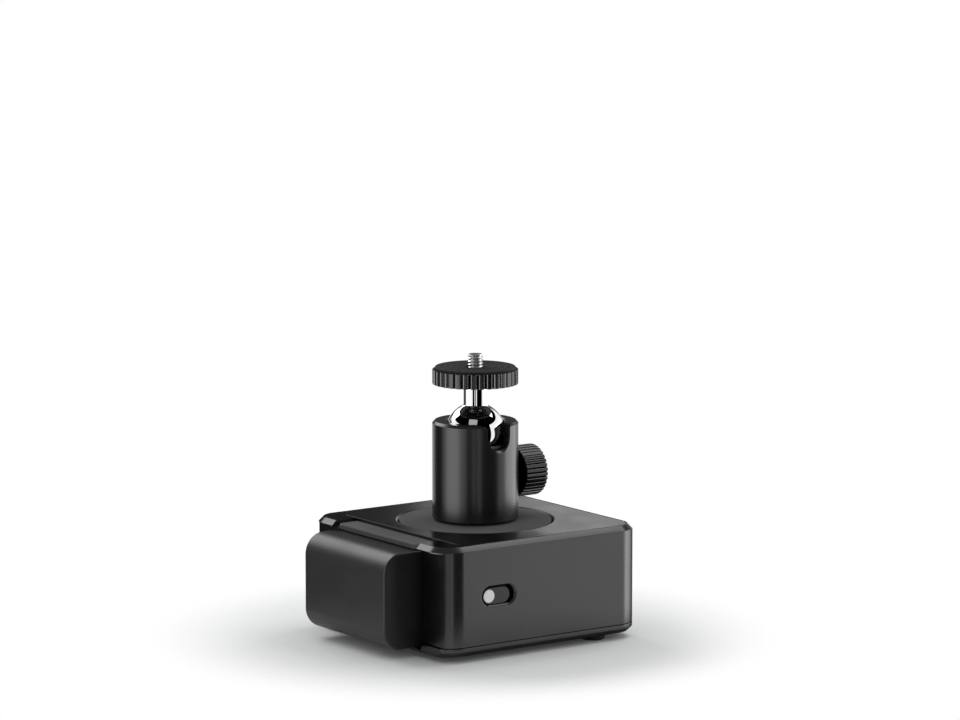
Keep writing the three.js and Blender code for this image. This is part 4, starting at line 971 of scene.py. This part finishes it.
CAMERA_YAW, CAMERA_PITCH = 35.341, 8.652
CAMERA_BACK, CAMERA_RIGHT, CAMERA_UP = 1.8537, 0.001888, 0.06393
CAMERA_LENS, SENSOR_WIDTH = 172.5, 36
AMBIENT = 0.58
FLOOR_R = 0.42
FADE_FROM, FADE_TO = 0.080, 0.13
FLOOR_LIFT = 0.02
CARD_R, CARD_LOW, CEILING = 1.3, -0.7, 0.8
DARK, DIM, BACK_DIM, CEILING_GLOW = 0.06, 0.09, 0.13, 0.2
BOX_R, BOX_HEIGHT = 0.85, 0.7
COVER_BOX_AWAY, COVER_BOX_Z, COVER_BOX_HEIGHT = 0.3, 0.075, 0.15
MID_HEIGHT = (0, 0, 0.05)


def empty_material(name):
    """A material with no node but its output."""
    mat = bpy.data.materials.new(name)
    mat.use_nodes = True
    mat.node_tree.nodes.clear()
    return mat, mat.node_tree, node(mat.node_tree, "ShaderNodeOutputMaterial")


def by_ray(tree, seen, unseen):
    """Mixes two shaders: the first for camera, glossy and transmitted rays, the second for the rest."""
    path = node(tree, "ShaderNodeLightPath")
    either = node(tree, "ShaderNodeMath", operation="MAXIMUM")
    tree.links.new(path.outputs["Is Camera Ray"], either.inputs[0])
    tree.links.new(path.outputs["Is Glossy Ray"], either.inputs[1])
    any_of = node(tree, "ShaderNodeMath", operation="MAXIMUM")
    tree.links.new(either.outputs[0], any_of.inputs[0])
    tree.links.new(path.outputs["Is Transmission Ray"], any_of.inputs[1])
    mix = node(tree, "ShaderNodeMixShader")
    tree.links.new(any_of.outputs[0], mix.inputs[0])
    tree.links.new(unseen, mix.inputs[1])
    tree.links.new(seen, mix.inputs[2])
    return mix.outputs[0]


def make_world():
    world = bpy.data.worlds.new("studio")
    bpy.context.scene.world = world
    world.use_nodes = True
    tree = world.node_tree
    tree.nodes.clear()
    out = node(tree, "ShaderNodeOutputWorld")
    white = node(tree, "ShaderNodeBackground", Color=(1, 1, 1, 1), Strength=1.0)
    soft = node(tree, "ShaderNodeBackground", Color=(1, 1, 1, 1), Strength=AMBIENT)
    tree.links.new(by_ray(tree, white.outputs[0], soft.outputs[0]), out.inputs["Surface"])


def make_floor():
    """A pale disc that keeps the shadow and fades into the white world towards its rim."""
    mesh = bpy.data.meshes.new("floor")
    mesh.from_pydata([(x, y, 0) for x, y in circle(FLOOR_R, 96)], [], [tuple(range(96))])
    floor = link(bpy.data.objects.new("floor", mesh))
    mat, tree, out = empty_material("floor_pale")
    matt = node(tree, "ShaderNodeBsdfDiffuse", Color=(0.87, 0.88, 0.88, 1))
    glow = node(tree, "ShaderNodeEmission", Color=(1, 1, 1, 1), Strength=FLOOR_LIFT)
    both = node(tree, "ShaderNodeAddShader")
    tree.links.new(matt.outputs[0], both.inputs[0])
    tree.links.new(glow.outputs[0], both.inputs[1])
    place = node(tree, "ShaderNodeTexCoord")
    reach = node(tree, "ShaderNodeVectorMath", operation="LENGTH")
    tree.links.new(place.outputs["Object"], reach.inputs[0])
    fade = node(tree, "ShaderNodeMapRange", interpolation_type="SMOOTHSTEP")
    fade.inputs["From Min"].default_value = FADE_FROM
    fade.inputs["From Max"].default_value = FADE_TO
    tree.links.new(reach.outputs["Value"], fade.inputs["Value"])
    clear = node(tree, "ShaderNodeBsdfTransparent")
    rim = node(tree, "ShaderNodeMixShader")
    tree.links.new(fade.outputs["Result"], rim.inputs[0])
    tree.links.new(both.outputs[0], rim.inputs[1])
    tree.links.new(clear.outputs[0], rim.inputs[2])
    tree.links.new(by_ray(tree, rim.outputs[0], matt.outputs[0]), out.inputs["Surface"])
    mesh.materials.append(mat)


def polar(azimuth, radius, z):
    """A point round the pan axis; the azimuth is measured from +x towards +y."""
    angle = math.radians(azimuth)
    return Vector((AXIS.x + radius * math.cos(angle), AXIS.y + radius * math.sin(angle), z))


def beyond(depth, aside, z):
    """A point behind the object as the photograph's camera sees it: so deep, and so far to its right."""
    yaw = math.radians(CAMERA_YAW)
    return Vector((AXIS.x + depth * math.sin(yaw) + aside * math.cos(yaw),
                   AXIS.y + depth * math.cos(yaw) - aside * math.sin(yaw), z))


def make_card(name, verts, faces, level):
    """A dark card that only reflections see, as black flags darken parts of a studio."""
    mesh = bpy.data.meshes.new(name)
    mesh.from_pydata(verts, [], faces)
    card = link(bpy.data.objects.new(name, mesh))
    mat, tree, out = empty_material(name)
    glow = node(tree, "ShaderNodeEmission", Color=(1, 1, 1, 1), Strength=level)
    tree.links.new(glow.outputs[0], out.inputs["Surface"])
    mesh.materials.append(mat)
    card.visible_camera = False
    card.visible_diffuse = False
    card.visible_shadow = False
    card.visible_transmission = False
    return card


def make_flag(name, azimuths, z0, z1, level):
    """An upright card, bent round the object."""
    steps = 24
    start, end = azimuths
    turns = [start + (end - start) * i / steps for i in range(steps + 1)]
    verts = [polar(turn, CARD_R, z) for turn in turns for z in (z0, z1)]
    faces = [(2 * i, 2 * i + 2, 2 * i + 3, 2 * i + 1) for i in range(steps)]
    return make_card(name, verts, faces, level)


def make_ceiling():
    sides, overhang = 96, 0.05
    rim = [polar(360 * i / sides, CARD_R + overhang, CEILING) for i in range(sides)]
    return make_card("flag_ceiling", rim, [tuple(range(sides))], CEILING_GLOW)


def lamp(name, at, aim, width, height, radiance, glints_only=True):
    """A soft box; its power follows from the brightness that a reflection of it shows."""
    data = bpy.data.lights.new(name, "AREA")
    data.shape = "RECTANGLE"
    data.size, data.size_y = width, height
    data.energy = radiance * math.pi * width * height
    obj = bpy.data.objects.new(name, data)
    obj.location = at
    obj.rotation_euler = (Vector(aim) - Vector(at)).to_track_quat("-Z", "Y").to_euler()
    obj.visible_camera = False
    obj.visible_diffuse = not glints_only
    return link(obj)


def side_lamp(name, azimuth, width, radiance):
    """An upright soft box beside the object, centred at the floor's height."""
    lamp(name, polar(azimuth, BOX_R, 0.0), polar(azimuth, 0, 0.0), width, BOX_HEIGHT, radiance)


def cover_lamp(name, aside, width, radiance):
    """A soft box close behind the object, low enough for the housing and its cover to mirror it."""
    at, aim = beyond(COVER_BOX_AWAY, aside, COVER_BOX_Z), beyond(0, aside, COVER_BOX_Z)
    light_only(lamp(name, at, aim, width, COVER_BOX_HEIGHT, radiance), shell, cover)


def pieces_group(owner, pieces):
    group = bpy.data.collections.new(owner.name + "_pieces")
    for piece in pieces:
        group.objects.link(piece)
    owner.light_linking.receiver_collection = group
    return group


def light_only(light, *pieces):
    """Lets a lamp light these pieces alone."""
    pieces_group(light, pieces)


def black_in(card, *pieces):
    """Keeps a card's faint glow away from these pieces, which then mirror it as black."""
    for item in pieces_group(card, pieces).collection_objects:
        item.light_linking.link_state = "EXCLUDE"


def make_camera():
    """The photograph's view: to the left of the front by the yaw, and above it by the pitch."""
    yaw, pitch = math.radians(CAMERA_YAW), math.radians(CAMERA_PITCH)
    back = Vector((-math.sin(yaw) * math.cos(pitch), -math.cos(yaw) * math.cos(pitch), math.sin(pitch)))
    right = Vector((math.cos(yaw), -math.sin(yaw), 0))
    up = back.cross(right)
    aim = AXIS + Vector((0, 0, TOP * MM))
    place = aim + CAMERA_BACK * back + CAMERA_RIGHT * right + CAMERA_UP * up
    data = bpy.data.cameras.new("camera")
    data.sensor_fit = "HORIZONTAL"
    data.sensor_width = SENSOR_WIDTH
    data.lens = CAMERA_LENS
    data.clip_start, data.clip_end = 0.1, 50
    camera = link(bpy.data.objects.new("camera", data))
    camera.matrix_world = Matrix.Translation(place) @ Matrix((right, up, back)).transposed().to_4x4()
    bpy.context.scene.camera = camera


make_camera()
make_world()
make_floor()
black_in(make_flag("flag_front_left", (-150, -119), CARD_LOW, CEILING, DIM), ball)
black_in(make_flag("flag_front", (-111, -62), CARD_LOW, CEILING, DARK), ball)
make_flag("flag_back_left", (98, 138), CARD_LOW, 0.45, DARK)
make_flag("flag_back", (30, 95), 0.10, CEILING, BACK_DIM)
black_in(make_ceiling(), ball)
side_lamp("left_box", azimuth=172, width=0.62, radiance=1.4)
side_lamp("right_box", azimuth=-14, width=0.76, radiance=2.6)
side_lamp("strip_box", azimuth=-129.5, width=0.1, radiance=0.8)
lamp("top_box", polar(0, 0.42, 0.70), MID_HEIGHT, width=0.42, height=0.42, radiance=2.6, glints_only=False)
lamp("back_box", polar(98, 0.80, 0.58), MID_HEIGHT, width=0.65, height=0.42, radiance=4.0, glints_only=False)
cover_lamp("cover_box", aside=0.125, width=0.2, radiance=4.6)
cover_lamp("cover_fill", aside=0, width=0.05, radiance=3.0)
ball_box = lamp("ball_box", polar(-137, 0.55, 0.64), polar(-137, 0, 0.085),
                width=0.42, height=0.34, radiance=0.4)
light_only(ball_box, ball)
bpy.context.scene.view_settings.view_transform = "Standard"
